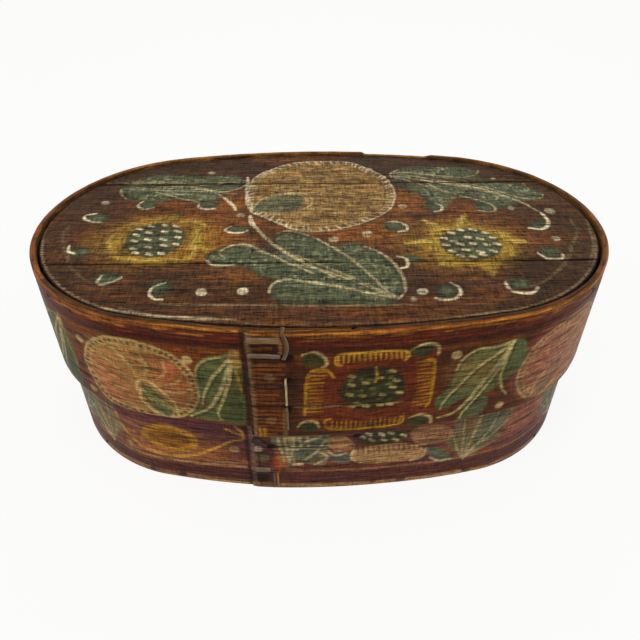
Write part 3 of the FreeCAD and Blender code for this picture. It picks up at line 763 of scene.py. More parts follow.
def paintShrubFlower(p, by):
    # half seen under the lid: comb petals, a dark seed head and leaves either side
    c = sideColours
    p.patch(shifted([(24, 44), (40, 49), (62, 49), (76, 44), (81, 36), (76, 29), (52, 27),
                     (30, 29), (22, 35)], by), c["straw"], 0.95)
    for x in range(27, 78, 4):
        p.stroke(shifted([(x, 48), (x + 1, 39)], by), 1.7, c["plum"], 0.75, (1, 0.3))
    p.dot(45 + by, 58, 20, 9, c["leafDark"], 0.95, 2)
    for x, z in [(30, 60), (37, 56), (45, 61), (47, 55), (56, 54), (62, 58), (35, 63), (52, 62)]:
        p.stroke(shifted([(x - 1.6, z + 1), (x + 1.6, z - 1)], by), 2.6, c["creamBright"], 0.7)
    p.dot(26 + by, 62, 3.5, 2.4, "#120b08", 0.95)
    p.stroke(shifted([(43, 51), (52, 51)], by), 1.4, "#1d120e", 0.8)
    p.patch(shifted([(4, 60), (14, 62), (22, 56), (24, 48), (14, 44), (5, 50)], by), c["tan"], 0.9)
    p.patch(shifted([(68, 62), (84, 66), (98, 62), (102, 50), (92, 44), (74, 46)], by),
            c["tan"], 0.85)
    for z in range(47, 65, 3):
        p.stroke(shifted([(70, z), (84, z + 1), (98, z)], by), 1.2, c["plum"], 0.6)
    for points in ([(5, 42), (14, 44), (22, 38), (20, 30), (10, 31), (6, 36)],
                   [(83, 40), (92, 39), (102, 30), (104, 22), (96, 21), (86, 29)]):
        p.patch(shifted(points, by), c["teal"], 0.9)
    for points in ([(4, 46), (10, 40), (18, 42)], [(86, 28), (94, 22), (104, 22)],
                   [(24, 46), (22, 36), (30, 29)], [(82, 40), (80, 30), (70, 27)]):
        p.stroke(shifted(points, by), 2.0, c["creamBright"], 0.7)


def paintFernLeaf(p, by, flip=1):
    # broad leaf with veins rising from its foot
    c = sideColours
    about = 120.0
    p.patch(shifted([(106, 32), (99, 41), (96, 52), (103, 60), (101, 74), (120, 78), (132, 73),
                     (146, 78), (154, 66), (151, 54), (142, 47), (147, 38), (135, 35), (126, 25),
                     (114, 20)], by, flip, about), c["sage"], 0.75, 2.4)
    p.patch(shifted([(108, 72), (110, 54), (118, 50), (122, 66), (118, 76)], by, flip, about),
            c["brick"], 0.4, 2)
    p.patch(shifted([(122, 30), (140, 40), (146, 66), (128, 70), (124, 50)], by, flip, about),
            c["teal"], 0.55, 2)
    for points in ([(115, 20), (112, 40), (110, 70)], [(115, 20), (119, 44), (124, 72)],
                   [(115, 20), (124, 34), (134, 50), (138, 68)], [(116, 22), (126, 28), (142, 34)],
                   [(115, 20), (122, 32), (136, 42), (149, 56)], [(114, 20), (108, 34), (103, 50)]):
        p.stroke(shifted(points, by, flip, about), 2.0, c["cream"], 0.6, (1, 0.5))


def paintBoat(p, by, flip=1):
    # yellow almond with a hatched eye
    c = sideColours
    about = -115.0
    outline = [(-168, 62), (-166, 50), (-158, 38), (-145, 29), (-128, 26), (-112, 28), (-98, 34),
               (-84, 43), (-72, 52), (-60, 56)]
    p.stroke(shifted(outline, by, flip, about), 3.6, c["yellowBright"], 0.85, (0.8, 0.6))
    p.dot(about + flip * (-121 - about) + by, 48, 24, 15, c["yellow"], 0.9, 1.0)
    p.dot(about + flip * (-121 - about) + by, 48, 17, 9.5, c["brick"], 0.85, 1.6)
    for z in range(40, 57, 3):
        reach = 15 * math.sqrt(max(0.05, 1 - ((z - 48) / 10) ** 2))
        p.stroke(shifted([(-121 - reach, z), (-121 + reach, z + 0.6)], by, flip, about), 1.4,
                 c["yellow"], 0.75)
    for points in ([(-74, 66), (-66, 62), (-59, 60)], [(-66, 70), (-62, 64), (-60, 57)]):
        p.stroke(shifted(points, by, flip, about), 2.2, c["yellowBright"], 0.7)


def paintBoxSide(p):
    c = sideColours
    p.wash(c["plum"], 0.6, 60, 7, 131)
    p.wash(c["brick"], 0.4, 50, 9, 132)
    p.wash(c["orange"], 0.4, 40, 8, 133, 0.5, 0.9)
    p.glow(-80, 70, 60, 22, c["plum"], 0.9, 0.6)
    p.glow(-130, 36, 66, 30, "#94603e", 0.9, 0.6)
    p.wash("#4a2630", 0.6, 40, 4, 135, 0.3, 0.7, (p.y > 58) & (p.x < -50))
    for low, high, colour, amount in [(6, 20, "wine", 0.95), (9, 10.5, "maroon", 0.6),
                                      (14, 15.2, "umber", 0.6), (20.5, 23.5, "tan", 0.55),
                                      (-2, 5.5, "straw", 0.75)]:
        p.band(low, high, c[colour], amount)
    half = girth / 2
    for by, flip in ((0, 1), (520, -1), (-300, -1)):
        paintBoat(p, by, flip)
    for by, flip in ((0, 1), (-308, -1), (95, -1), (250, 1), (-345, 1), (-480, 1), (-620, -1),
                     (360, 1)):
        paintFernLeaf(p, by, flip)
    for by in (0, half - 50, -half - 50, 230):
        paintShrubFlower(p, by)
    p.dot(170, 52, 22, 15, c["pink"], 0.55, 4)
    p.stroke([(-168, 22), (-130, 21), (-98, 22), (-76, 27), (-58, 28)], 3.4, c["tan"], 0.85)
    p.patch([(-37, 66), (-36, 40), (-31, 28), (-24, 30), (-18, 36), (-10, 30), (2, 29), (4, 46),
             (3, 66)], c["sage"], 0.9)
    p.patch([(-22, 44), (-16, 62), (-4, 70), (2, 66), (0, 48), (-8, 34), (-20, 36)], c["teal"],
            0.8)
    for points in ([(-29, 66), (-28, 48), (-26, 30)], [(-34, 62), (-32, 46), (-30, 32)],
                   [(-22, 66), (-23, 50), (-26, 36)], [(-20, 48), (-12, 58), (-2, 62)],
                   [(2, 58), (-4, 46), (-14, 36)], [(-2, 44), (4, 38), (-6, 30)]):
        p.stroke(points, 2.2, c["creamBright"], 0.7)
    for points, width in [([(-25, 67), (-24, 50)], 3.2), ([(-18, 66), (-17, 52)], 3.0),
                          ([(-12, 66), (-11, 50)], 3.0), ([(-26, 48), (-22, 34)], 3.4)]:
        p.stroke(points, width, c["cream"], 0.6, (1, 0.6))
    p.stroke([(-23, 30), (-16, 31)], 3.0, c["creamBright"], 0.85)
    p.dot(-29, 31, 4.5, 2.2, "#2a201c", 0.7)
    p.patch([(-37, 40), (-28, 40), (-27, 30), (-31, 25), (-38, 26)], c["orange"], 0.6, 1.6)
    p.stroke([(-37, 49), (-33, 42)], 3.6, "#8a3c1e", 0.75)
    p.stroke([(-37, 38), (-36, 26), (-37, 12)], 4.0, "#8a3c1e", 0.7)
    for x, z in [(-162, 29), (-69, 43.5), (-50, 47.5)]:
        p.dot(x, z, 3.9, 3.6, "#b4a290" if x > -60 else c["straw"], 0.9)
    p.patch([(-52, 74), (-38, 74), (-38, 0), (-52, 0)], c["umber"], 0.5, 4, smooth=False)
    # a painted shadow line beside the lap's edge, then its bevel grey, partly end grain and partly a
    # painted highlight
    p.stroke([(-58.6, 0), (-58.6, 74)], 3.6, c["umber"], 0.85, smooth=False)
    p.stroke([(-54.6, 0), (-54.0, 30), (-54.8, 74)], 3.2, c["lapGrey"], 0.75)
    p.patch([(-53, 70), (-47, 70), (-47, 64), (-53, 64)], c["tan"], 0.6)
    p.patch([(-52, 40), (-42, 40), (-43, 34), (-51, 34)], c["sage"], 0.5)
    p.stroke([(-44.5, 74), (-43.5, 65)], 2.4, c["yellow"], 0.7)
    for z in range(30, 64, 4):
        p.stroke([(-47, z), (-41, z)], 1.2, c["pitch"], 0.45)
    p.stroke([(-49.8, 4), (-49.6, 44)], 1.8, c["pitch"], 0.6)
    # painted shade in the hollow under the corner strap
    p.dot(-49, 14, 8, 6, c["pitch"], 0.75, 3)
    p.stroke([(-52, 27.4), (-42, 27.4)], 1.4, c["pitch"], 0.7)
    # the slot and its hole painted near black: painted shade inside them
    p.stroke([(-46, 57), (-41, 53.5), (-38, 53)], 2.6, c["pitch"], 0.9)
    p.dot(-39.5, 51.5, 3.6, 2.8, c["pitch"], 0.95, 0.8)
    p.stroke([(-38, 51), (-31, 51.2), (-25, 50.6)], 2.6, c["pitch"], 0.95, (1, 0.7))
    p.stroke([(-25, 50.4), (-10, 50.8), (4, 50.3)], 1.3, c["pitch"], 0.8)
    p.wash("#2a150f", 0.5, 34, 1.8, 134, 0.55, 0.85)
    for x in (-143, -116, 120, 64):
        p.dot(x, 4, 4, 2.4, "#1a0e0a", 0.7)


# the two walls

def stationsOf(shape, fine, coarse, frontReach):
    # places along the strip: close together at the front, where the painting is seen
    lastFront = girth - frontReach
    return np.concatenate([
        np.arange(shape.start, shape.start + 8, 0.6), np.arange(shape.start + 8, frontReach, fine),
        np.arange(frontReach, lastFront, coarse), np.arange(lastFront, girth + shape.start, fine),
        np.arange(girth + shape.start, girth + shape.end, coarse), [girth + shape.end]])


wallSection = {   # millimetres, or shares of the wall's thickness or of the rounding
    "outerLip": 0.6, "innerLip": 0.5, "insideRows": 7,
    "rimPart": (0.05, 0.14, 0.30, 0.55, 0.80, 0.95, 1.0),
    "rimDrop": (0.55, 0.22, 0.04, 0.0, 0.06, 0.30, 0.80),
    "footPart": (1.0, 0.85, 0.15),
}


def wallMesh(shape, stations, lowEdge, topEdge, outsideShares, edgeRound):
    # closed strip; each station has one row of points round its section: up the outside, over
    # the rounded rim, down the inside and back under the foot
    u, outer, inner = shape.faces(stations)
    low, top = lowEdge(u, stations), topEdge(u)
    thick = inner - outer
    rimDrop = np.array(wallSection["rimDrop"]) * edgeRound
    rimPart, footPart = np.array(wallSection["rimPart"]), np.array(wallSection["footPart"])
    insideShare = np.linspace(1, 0, wallSection["insideRows"] + 2)[1:-1]
    outerLip, innerLip = wallSection["outerLip"], wallSection["innerLip"]
    rows = []
    for i in range(len(stations)):
        t, z0, z1 = thick[i], low[i], top[i]
        zOut = z0 + outerLip + (z1 - edgeRound - z0 - outerLip) * outsideShares
        zIn = z0 + innerLip + (z1 - edgeRound - z0 - innerLip) * insideShare
        depth = np.concatenate([np.zeros(len(zOut)), rimPart * t, np.full(len(zIn), t),
                                footPart * t])
        z = np.concatenate([zOut, z1 - rimDrop, zIn, [z0 + innerLip, z0, z0]])
        rows.append(np.stack([np.full(len(z), u[i]), outer[i] + depth, z,
                              np.full(len(z), t)], -1))
    return np.array(rows)


oldGrain = {"ringLong": 60, "ringWide": 1.5, "ringDeep": 0.34, "fibreLong": 7,
            "fibreWide": 1.1, "fibreDeep": 0.10}   # millimetres


def grainDent(along, across, seed):
    # open rings of the soft wood and loose fibres, shrunk back by up to half a millimetre
    ring = mottle(along, across, oldGrain["ringLong"], oldGrain["ringWide"], seed)
    fibre = mottle(along, across, oldGrain["fibreLong"], oldGrain["fibreWide"], seed + 1)
    return oldGrain["ringDeep"] * ease(ring, 0.62, 0.85) + oldGrain["fibreDeep"] * fibre


def pressed(rows, marks):
    # cracks, holes and hollows as real dents: line, width and depth in millimetres
    depth = np.zeros(rows.shape[:2])
    u, z = rows[..., 0], rows[..., 2]
    for line, width, deep in marks:
        for a, b in zip(line[:-1], line[1:]):
            a, b = np.array(a, float), np.array(b, float)
            d = b - a
            t = np.clip(((u - a[0]) * d[0] + (z - a[1]) * d[1]) / (d @ d), 0, 1)
            gap = np.hypot(u - a[0] - d[0] * t, z - a[1] - d[1] * t)
            depth = np.maximum(depth, deep * (1 - ease(gap, width * 0.3, width * 0.75)))
    return depth


def lidLowEdge(u, stations):
    # level, but for the front: there it falls to the lap's outer end
    x, y, _, _ = ovalSpot(u)
    high, low = (boxShape[k] * boxShape["height"] for k in ("lidEdgeHigh", "lidEdgeLow"))
    lapEndX = boxShape["lapEndX"]
    rise = np.clip((x - lapEndX) / (boxShape["halfLength"] - lapEndX), 0, 1)
    slope = (y < 0) & (stations < girth / 2)
    return np.where(slope, low + (high - low) * rise, high)


def lidTopEdge(u):
    # the rim, worn uneven, with the long chip at the back
    x, y, _, _ = ovalSpot(u)
    start, end = boxShape["chipFrom"], boxShape["chipTo"]
    worn = ease(x, start, start + boxShape["chipStart"]) * (
        1 - ease(x, end - boxShape["chipEnd"], end))
    wear = boxShape["rimWear"] * mottle(u, u, 14, 9, 4)
    return boxShape["height"] - boxShape["chipDepth"] * worn * (y > 0) - wear


def finishWall(name, rows, outsideCount, painting, material, body, node, dents):
    u, inward, z = rows[..., 0], rows[..., 1], rows[..., 2]
    dent = grainDent(u, z, 31)
    dent[:, outsideCount + 2:] *= 0.2
    dent = np.minimum(dent + dents, 0.5 * rows[..., 3])
    shows = np.arange(rows.shape[1]) < outsideCount + 3
    wall = gridMesh(name, wallPoint(u, inward + np.where(shows, dent, 0), z), True, True)
    pointColour(wall.data, "paint", painting.paint)
    under = np.concatenate([painting.under, painting.thin[:, None]], 1)
    pointColour(wall.data, "under", under)
    pointVector(wall.data, "board", np.stack([u.ravel(), z.ravel(), inward.ravel()], -1))
    wall.data.materials.append(material)
    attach(wall, body)
    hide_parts(node)
    print(name, "made,", rows.shape[0] * rows.shape[1], "points")


def paintInside(painting, rows, firstBare, colour):
    # bare wood of the inner face and the lower edge
    cover = np.zeros(rows.shape[:2])
    cover[:, firstBare:] = 1.0
    painting.lay(painting.every, cover.ravel(), colour, 0.35)


def paintRimDirtAndShade(painting, rows, outsideCount):
    # dirt on the top of the rim, thinner on its outer arris; towards the inside, and most along the
    # front, it is also painted shade of the gap beside the boards
    part = np.zeros(rows.shape[:2])
    part[:, outsideCount + 2:outsideCount + 7] = 0.9
    part[:, outsideCount + 1] = 0.4
    part[:, outsideCount + 5:outsideCount + 9] = 1.4
    cover = part.ravel() * (0.3 + 0.35 * mottle(painting.x, painting.y, 18, 9, 141)
                            + 0.4 * (np.abs(painting.x) < lidWall["frontReach"]))
    painting.lay(painting.every, cover, "#2e2014", 0.0)


def makeWall(wall, shape, outsideShares, lowEdge, topEdge, paintSide, material, body, node):
    stations = stationsOf(shape, wall["fine"], wall["coarse"], wall["frontReach"])
    rows = wallMesh(shape, stations, lowEdge, topEdge, outsideShares, wall["edgeRound"])
    painting = Painting(np.stack([rows[..., 0].ravel(), rows[..., 2].ravel()], -1),
                        wall["ground"], wall["under"], wall["thin"])
    paintSide(painting)
    paintInside(painting, rows, len(outsideShares) + wall["paintedRim"], wall["bare"])
    if wall["rimDirtAndShade"]:
        paintRimDirtAndShade(painting, rows, len(outsideShares))
    finishWall(wall["name"], rows, len(outsideShares), painting, material, body, node,
               pressed(rows, wall["dents"]))


lidWall = {   # millimetres; paintedRim counts the rows of the rim that hold paint
    "name": "lidWall", "fine": 1.12, "coarse": 2.1, "frontReach": 215.0, "rowsUp": 104,
    "edgeRound": 1.5, "paintedRim": 6, "rimDirtAndShade": True,
    "ground": "#5e3420", "under": "#2a160d", "bare": "#8a6644", "thin": 0.25,
    "dents": [   # line, width, depth
        ([(-49, 103), (-30, 103.5), (0, 104), (30, 103.5), (62, 103)], 0.9, 0.7),
        ([(-26, 149.5), (-21, 149.5)], 3.4, 1.5), ([(-25.5, 129.5), (-22.5, 129.5)], 3.0, 1.4),
        ([(-27, 101), (-24, 103)], 3.0, 0.8), ([(-49, 158), (-30, 158)], 7.0, 0.5)],
}
makeWall(lidWall, lidWallShape, np.linspace(0, 1, lidWall["rowsUp"]), lidLowEdge, lidTopEdge,
         paintLidSide, lidWallMaterial, "lid", "lid_band")

boxWall = {   # rowsSeen reach up to seenTo, the rest is hidden in the lid
    "name": "boxWall", "fine": 1.12, "coarse": 2.1, "frontReach": 215.0,
    "rowsSeen": 92, "seenTo": 84.0, "rowsHidden": 14, "edgeRound": 0.8, "paintedRim": 1,
    "rimDirtAndShade": False, "ground": "#6a4038", "under": "#2c1a14", "bare": "#8a6644", "thin": 0.25,
    "dents": [
        ([(-40, 51.5), (-38, 51.5)], 4.0, 1.6), ([(-38, 51.2), (-26, 50.8)], 1.6, 1.0),
        ([(-25, 50.4), (4, 50.3)], 0.8, 0.4), ([(-52, 14), (-45, 14)], 8.0, 0.6)],
}
seenShare = boxWall["seenTo"] / boardLow
boxShares = np.concatenate([np.linspace(0, seenShare, boxWall["rowsSeen"]),
                            np.linspace(seenShare, 1, boxWall["rowsHidden"])[1:]])
makeWall(boxWall, boxWallShape, boxShares, lambda u, stations: np.zeros(len(u)),
         lambda u: np.full(len(u), boardLow), paintBoxSide, boxWallMaterial, "box", "body_band")


# the planks of the lid

def halfLengthAt(y, inward):
    # half the oval's length at a distance from its middle line
    y = np.abs(np.asarray(y, float))
    endR, sideR = endRadius - inward, sideRadius - inward
    tangentY = endR * math.cos(turnAngle)
    endPart = endCentre + np.sqrt(np.maximum(endR ** 2 - y ** 2, 0))
    sidePart = np.sqrt(np.maximum(sideR ** 2 - (y + sideCentre) ** 2, 0))
    return np.where(y < tangentY, endPart, sidePart)


def plankRows(low, high, step):
    # rows front to back; closer where the plank's edge turns round
    inward = boxShape["wall"] + boxShape["boardGap"]
    limit = boxShape["halfWidth"] - inward
    share = np.linspace(0, 1, int((high - low) / step) + 2)
    rows = low + (high - low) * share
    steps, clear = np.array(lidBoards["edgeSteps"]), lidBoards["edgeClear"]
    if low <= -limit + 0.01:
        rows = np.unique(np.concatenate([-limit + steps, rows[rows > -limit + clear]]))
    if high >= limit - 0.01:
        rows = np.unique(np.concatenate([limit - steps, rows[rows < limit - clear]]))
    return rows


lidBoards = {   # millimetres
    "step": 0.85, "edgeRound": 1.3, "edgeSteps": (0.03, 0.12, 0.3, 0.5), "edgeClear": 0.65,
    "ground": "#5e4028", "under": "#2c1a10", "bare": "#7c5c3e", "bareUnder": "#5c4028",
    "thin": 0.3, "bareThin": 0.4, "gapShade": "#1a100a", "arris": "#a08a76",
}


def plankMesh(low, high):
    # the top of one plank: along, across, height, and the distance to the oval's edge
    inward = boxShape["wall"] + boxShape["boardGap"]
    y = plankRows(low, high, lidBoards["step"])
    half = halfLengthAt(y, inward)
    widest = half.max()
    count = int(2 * widest / lidBoards["step"])
    edge = np.array([0.0, 0.35, 0.8, 1.4]) / widest
    share = np.unique(np.concatenate([-1 + edge, np.linspace(-1 + 2.1 / widest, 1 - 2.1 / widest,
                                                             count), 1 - edge]))
    x = share[None, :] * half[:, None]
    yy = np.repeat(y[:, None], len(share), 1)
    # how far each point is from the plank's own edge
    beyond = np.abs(x) - endCentre
    toOval = np.where(np.abs(yy) * endCentre <= beyond * sideCentre,
                      endRadius - inward - np.hypot(beyond, yy),
                      sideRadius - inward - np.hypot(x, np.abs(yy) + sideCentre))
    toJoint = np.minimum(yy - low, high - yy)
    near = np.maximum(np.minimum(toOval, toJoint), 0)
    drop = lidBoards["edgeRound"] * (1 - ease(near, -0.8, 2.0)) * 0.8
    return x, yy, boardTop - drop - grainDent(x, yy, 57), np.maximum(toOval, 0)


def closedPlank(name, x, y, z, lowZ, painting):
    # the top, straight sides down from its rim, and one face underneath
    rows, cols = x.shape
    top = np.stack([x, y, z], -1).reshape(-1, 3) * mm
    index = np.arange(rows * cols).reshape(rows, cols)
    rim = np.concatenate([index[0], index[1:, -1], index[-1, -2::-1], index[-2:0:-1, 0]])
    under = top[rim].copy()
    under[:, 2] = lowZ * mm
    a, b = rim, np.roll(rim, -1)
    lowIndex = np.arange(len(rim)) + len(top)
    c, d = np.roll(lowIndex, -1), lowIndex
    quads = np.stack([index[:-1, :-1], index[:-1, 1:], index[1:, 1:], index[1:, :-1]], -1)
    quads = np.concatenate([quads.reshape(-1, 4), np.stack([a, d, c, b], -1)])
    loops = np.concatenate([quads.ravel(), lowIndex[::-1]])
    sizes = np.concatenate([np.full(len(quads), 4), [len(lowIndex)]])
    points = np.vstack([top, under])
    plank = meshObject(name, points, loops, sizes, (rows - 1) * (cols - 1))
    bare = np.tile(linearColour(lidBoards["bare"]), (len(rim), 1))
    pointColour(plank.data, "paint", np.vstack([painting.paint, bare]))
    thin = np.concatenate([painting.thin, np.full(len(rim), lidBoards["bareThin"])])
    bareUnder = np.tile(linearColour(lidBoards["bareUnder"]), (len(rim), 1))
    underColour = np.vstack([painting.under, bareUnder])
    pointColour(plank.data, "under", np.concatenate([underColour, thin[:, None]], 1))
    pointVector(plank.data, "board", points / mm)
    return plank


# the painting on top of the lid, in millimetres from the middle

lidTop = {
    "green": "#5b6654", "greenDark": "#3c4536", "cream": "#b5ab92", "creamBright": "#ddd5c4",
    "flower": "#987a4c", "flowerDark": "#6a4e2e", "flowerPale": "#b89e74",
    "yellow": "#a98e3e", "yellowPale": "#c2ac62", "orange": "#a0642a", "orangeDark": "#804c26",
    "umber": "#38281e", "plum": "#4a3629", "redBrown": "#66402a",
}
lidTopLeaves = [   # colour, amount, outline
    ("green", 0.75, [(-176, 74), (-164, 81), (-150, 88), (-138, 91), (-124, 90), (-113, 93),
                     (-102, 85), (-88, 88), (-74, 88), (-67, 80), (-66, 73), (-100, 72),
                     (-140, 72)]),
    ("green", 0.92, [(-173, 66), (-150, 69), (-120, 70), (-90, 70), (-67, 70), (-68, 64),
                     (-76, 58), (-87, 56), (-80, 48), (-88, 41), (-97, 38), (-110, 41),
                     (-122, 44), (-134, 40), (-147, 41), (-160, 43), (-168, 48), (-173, 56)]),
    ("green", 0.95, [(-87, -46), (-82, -38), (-74, -32), (-64, -28), (-54, -29), (-46, -35),
                     (-40, -39), (-35, -31), (-37, -21), (-32, -12), (-22, -10), (-12, -13),
                     (-2, -21), (8, -29), (14, -35), (20, -30), (27, -28), (35, -34), (44, -41),
                     (51, -51), (55, -62), (58, -76), (58, -90), (54, -99), (49, -106),
                     (30, -108), (2, -106), (-24, -105), (-34, -98), (-36, -88), (-32, -79),
                     (-44, -73), (-54, -62), (-66, -57), (-80, -57)]),
    ("green", 0.72, [(66, 92), (66, 80), (68, 75), (110, 76), (150, 77), (146, 86), (146, 96),
                     (134, 104), (112, 107), (92, 104), (76, 101)]),
    ("green", 0.92, [(65, 73), (72, 63), (80, 54), (88, 44), (91, 34), (92, 24), (98, 19),
                     (105, 26), (108, 38), (116, 47), (122, 45), (130, 39), (137, 29),
                     (146, 20), (156, 24), (168, 30), (178, 35), (190, 38), (197, 45),
                     (190, 58), (180, 66), (168, 72), (150, 73), (110, 73), (85, 73)]),
    ("green", 0.8, [(166, -4), (172, 2), (182, 4), (186, -4), (180, -12), (168, -12)]),
]
lidTopVeins = [    # colour, width, amount, points
    ("cream", 2.0, 0.75, [(-142, 67), (-118, 67), (-100, 62), (-88, 53), (-80, 44)]),
    ("creamBright", 3.0, 0.9, [(-81, 45), (-76, 38), (-72, 31), (-70, 24)]),
    ("cream", 2.0, 0.7, [(-142, 57), (-128, 50), (-114, 43), (-102, 39)]),
    ("cream", 2.0, 0.7, [(-173, 62), (-171, 53), (-165, 45)]),
    ("cream", 2.2, 0.75, [(-112, 63), (-96, 59), (-82, 57), (-74, 60), (-67, 66), (-63, 73)]),
    ("cream", 2.0, 0.4, [(-170, 72), (-150, 74), (-128, 74), (-105, 72)]),
    ("creamBright", 3.6, 0.95, [(-57, 14), (-55, 3), (-50, -8)]),
    ("cream", 3.0, 0.85, [(-52, -3), (-47, -13), (-38, -27), (-27, -41), (-15, -53), (0, -66),
                          (12, -76)]),
    ("cream", 2.4, 0.8, [(-73, -46), (-76, -40), (-71, -33), (-62, -29), (-54, -31), (-46, -38),
                         (-36, -46), (-22, -57), (-6, -69)]),
    ("creamBright", 2.6, 0.8, [(-84, -52), (-78, -57), (-64, -57)]),
    ("cream", 2.6, 0.85, [(-37, -91), (-36, -84), (-30, -78), (-21, -77), (-8, -80), (14, -86),
                          (34, -94), (50, -99)]),
    ("cream", 1.8, 0.65, [(-22, -57), (-4, -63), (12, -72), (28, -83), (42, -94), (50, -99)]),
    ("cream", 1.8, 0.65, [(-22, -43), (-5, -55), (12, -67), (26, -78), (38, -89), (49, -98)]),
    ("cream", 2.4, 0.8, [(-3, -22), (10, -36), (20, -48), (28, -60), (36, -74), (44, -90),
                         (51, -99)]),
    ("cream", 2.4, 0.75, [(34, -34), (44, -42), (51, -52), (56, -65), (58, -78), (57, -92),
                          (51, -101)]),
    ("cream", 2.0, 0.6, [(-34, -13), (-26, -10), (-16, -13), (-5, -21)]),
    ("cream", 2.2, 0.55, [(68, 92), (84, 92), (100, 88), (115, 83), (128, 81), (139, 83),
                          (145, 89), (148, 95)]),
    ("cream", 2.0, 0.6, [(66, 82), (66, 90), (74, 97)]),
    ("cream", 2.6, 0.85, [(92, 76), (115, 69), (135, 62), (150, 53), (162, 43), (172, 33),
                          (179, 23), (184, 12)]),
    ("creamBright", 3.0, 0.8, [(183, 14), (185, 4), (182, -6), (175, -11), (166, -9)]),
    ("cream", 1.6, 0.6, [(67, 90), (86, 84), (104, 77), (124, 69), (142, 60), (158, 49)]),
    ("cream", 1.5, 0.5, [(68, 86), (90, 77), (110, 69), (130, 61), (150, 50), (168, 36)]),
    ("cream", 1.5, 0.5, [(68, 84), (84, 72), (98, 62), (112, 52)]),
    ("cream", 1.4, 0.4, [(70, 92), (92, 88), (116, 80), (140, 70)]),
    ("cream", 1.5, 0.5, [(-64, 78), (-84, 74), (-108, 68), (-132, 64), (-158, 62)]),
    ("cream", 1.5, 0.5, [(-72, 52), (-92, 56), (-116, 58), (-140, 60), (-166, 60)]),
    ("cream", 1.6, 0.5, [(-80, 46), (-98, 50), (-120, 52), (-140, 52)]),
    ("cream", 1.8, 0.6, [(106, 73), (126, 71), (146, 62), (160, 51), (172, 42), (183, 39),
                         (191, 41), (194, 47)]),
    ("cream", 2.0, 0.6, [(97, 71), (103, 61), (112, 54), (120, 49)]),
    ("cream", 2.2, 0.7, [(122, 46), (132, 40), (141, 34), (146, 27), (146, 20), (139, 18),
                         (132, 20)]),
    ("creamBright", 2.6, 0.75, [(-64, 84), (-63, 70), (-64, 60)]),
    ("creamBright", 2.2, 0.75, [(-64, 62), (-62, 50), (-59, 39), (-57, 28), (-56, 20)]),
    ("cream", 3.0, 0.2, [(-217, 8), (-217, -16), (-211, -36), (-203, -53)]),
    ("cream", 3.0, 0.12, [(-201, 0), (-201, -12), (-197, -26), (-190, -42), (-182, -58),
                         (-172, -70), (-160, -80)]),
    ("cream", 2.8, 0.13, [(204, 4), (203, -16), (192, -35), (180, -58), (160, -79), (146, -88)]),
    ("cream", 2.5, 0.28, [(217, 4), (213, -18), (208, -38), (196, -60)]),
    ("cream", 2.6, 0.45, [(-136, -107), (-116, -115), (-92, -119), (-58, -121)]),
    ("cream", 2.2, 0.25, [(-112, -104), (-60, -105), (0, -107), (60, -107)]),
]
lidTopCurls = [    # green blob (x, y, rx, ry), then the cream stroke round it
    ((-146, 34, 8.5, 7.0), [(-150, 40), (-153, 34), (-149, 28), (-144, 27), (-139, 29)]),
    ((-94, 34, 9.5, 6.5), [(-102, 36), (-101, 29), (-95, 26), (-88, 27)]),
    ((-181, 13, 10.0, 7.5), [(-184, 20), (-192, 17), (-191, 11), (-184, 7), (-177, 6)]),
    ((-65, -7, 10.0, 6.0), [(-71, -2), (-75, -8), (-70, -12), (-62, -12), (-58, -9)]),
    ((-182, -38, 9.0, 7.5), [(-192, -29), (-190, -37), (-184, -41)]),
    ((-152, -72, 9.5, 6.5), [(-157, -69), (-158, -78), (-152, -79), (-146, -76), (-143, -72)]),
    ((-113, -85, 8.5, 10.5), [(-110, -79), (-117, -83), (-119, -90), (-115, -97), (-109, -99)]),
    ((97, 28, 7.5, 9.0), [(99, 33), (103, 27), (101, 20), (95, 18)]),
    ((61, -4, 11.0, 8.0), [(53, 2), (62, 2), (69, -3), (69, -10), (62, -13)]),
    ((138, 25, 8.5, 8.0), []),
    ((172, -44, 9.0, 7.0), [(163, -45), (167, -52), (173, -54), (179, -53), (181, -47)]),
    ((67, -51, 7.0, 5.0), [(57, -48), (62, -50), (64, -56), (62, -62), (57, -64)]),
    ((86, -92, 8.0, 9.0), [(90, -82), (95, -87), (95, -95), (90, -101), (82, -102), (77, -100)]),
    ((138, -84, 9.0, 7.0), [(129, -82), (130, -91), (136, -95), (145, -95), (150, -89)]),
]
lidTopDots = [     # x, y, radius, amount
    (-181, 38, 3.6, 0.45), (-98, 93, 3.4, 0.35), (-83.5, -90.5, 3.9, 0.9), (-55, -89.5, 3.9, 0.9),
    (-65, 16, 3.6, 0.3), (37, -16, 4.2, 0.45), (10, -23, 4.0, 0.4), (69, -92.5, 3.8, 0.9),
    (62, -101, 2.2, 0.4), (183, -25, 3.6, 0.7), (191, 18, 4.6, 0.45), (158, 78, 2.0, 0.5),
    (182, 65, 2.4, 0.3), (70, 28, 3.8, 0.3), (161, 24, 3.0, 0.4), (47, 98, 3.6, 0.6),
]
thistles = [       # centre, radii, rows of seed marks
    ((-128, -21), (23.0, 24.5),
     [(-144, -5), (-135, -1), (-124, 0), (-115, -1), (-144, -14), (-135, -11), (-123, -10),
      (-112, -10), (-144, -23), (-134, -21), (-122, -21), (-111, -18), (-142, -34), (-131, -32),
      (-120, -30), (-111, -28), (-139, -40), (-129, -42), (-120, -41)]),
    ((115, -31), (23.5, 22.5),
     [(103, -15), (111, -11), (121, -11), (130, -15), (96, -23), (103, -28), (115, -22),
      (124, -24), (134, -23), (96, -33), (107, -32), (117, -31), (127, -33), (135, -32),
      (99, -42), (110, -40), (120, -43), (130, -42), (104, -48), (113, -49), (121, -47)]),
]
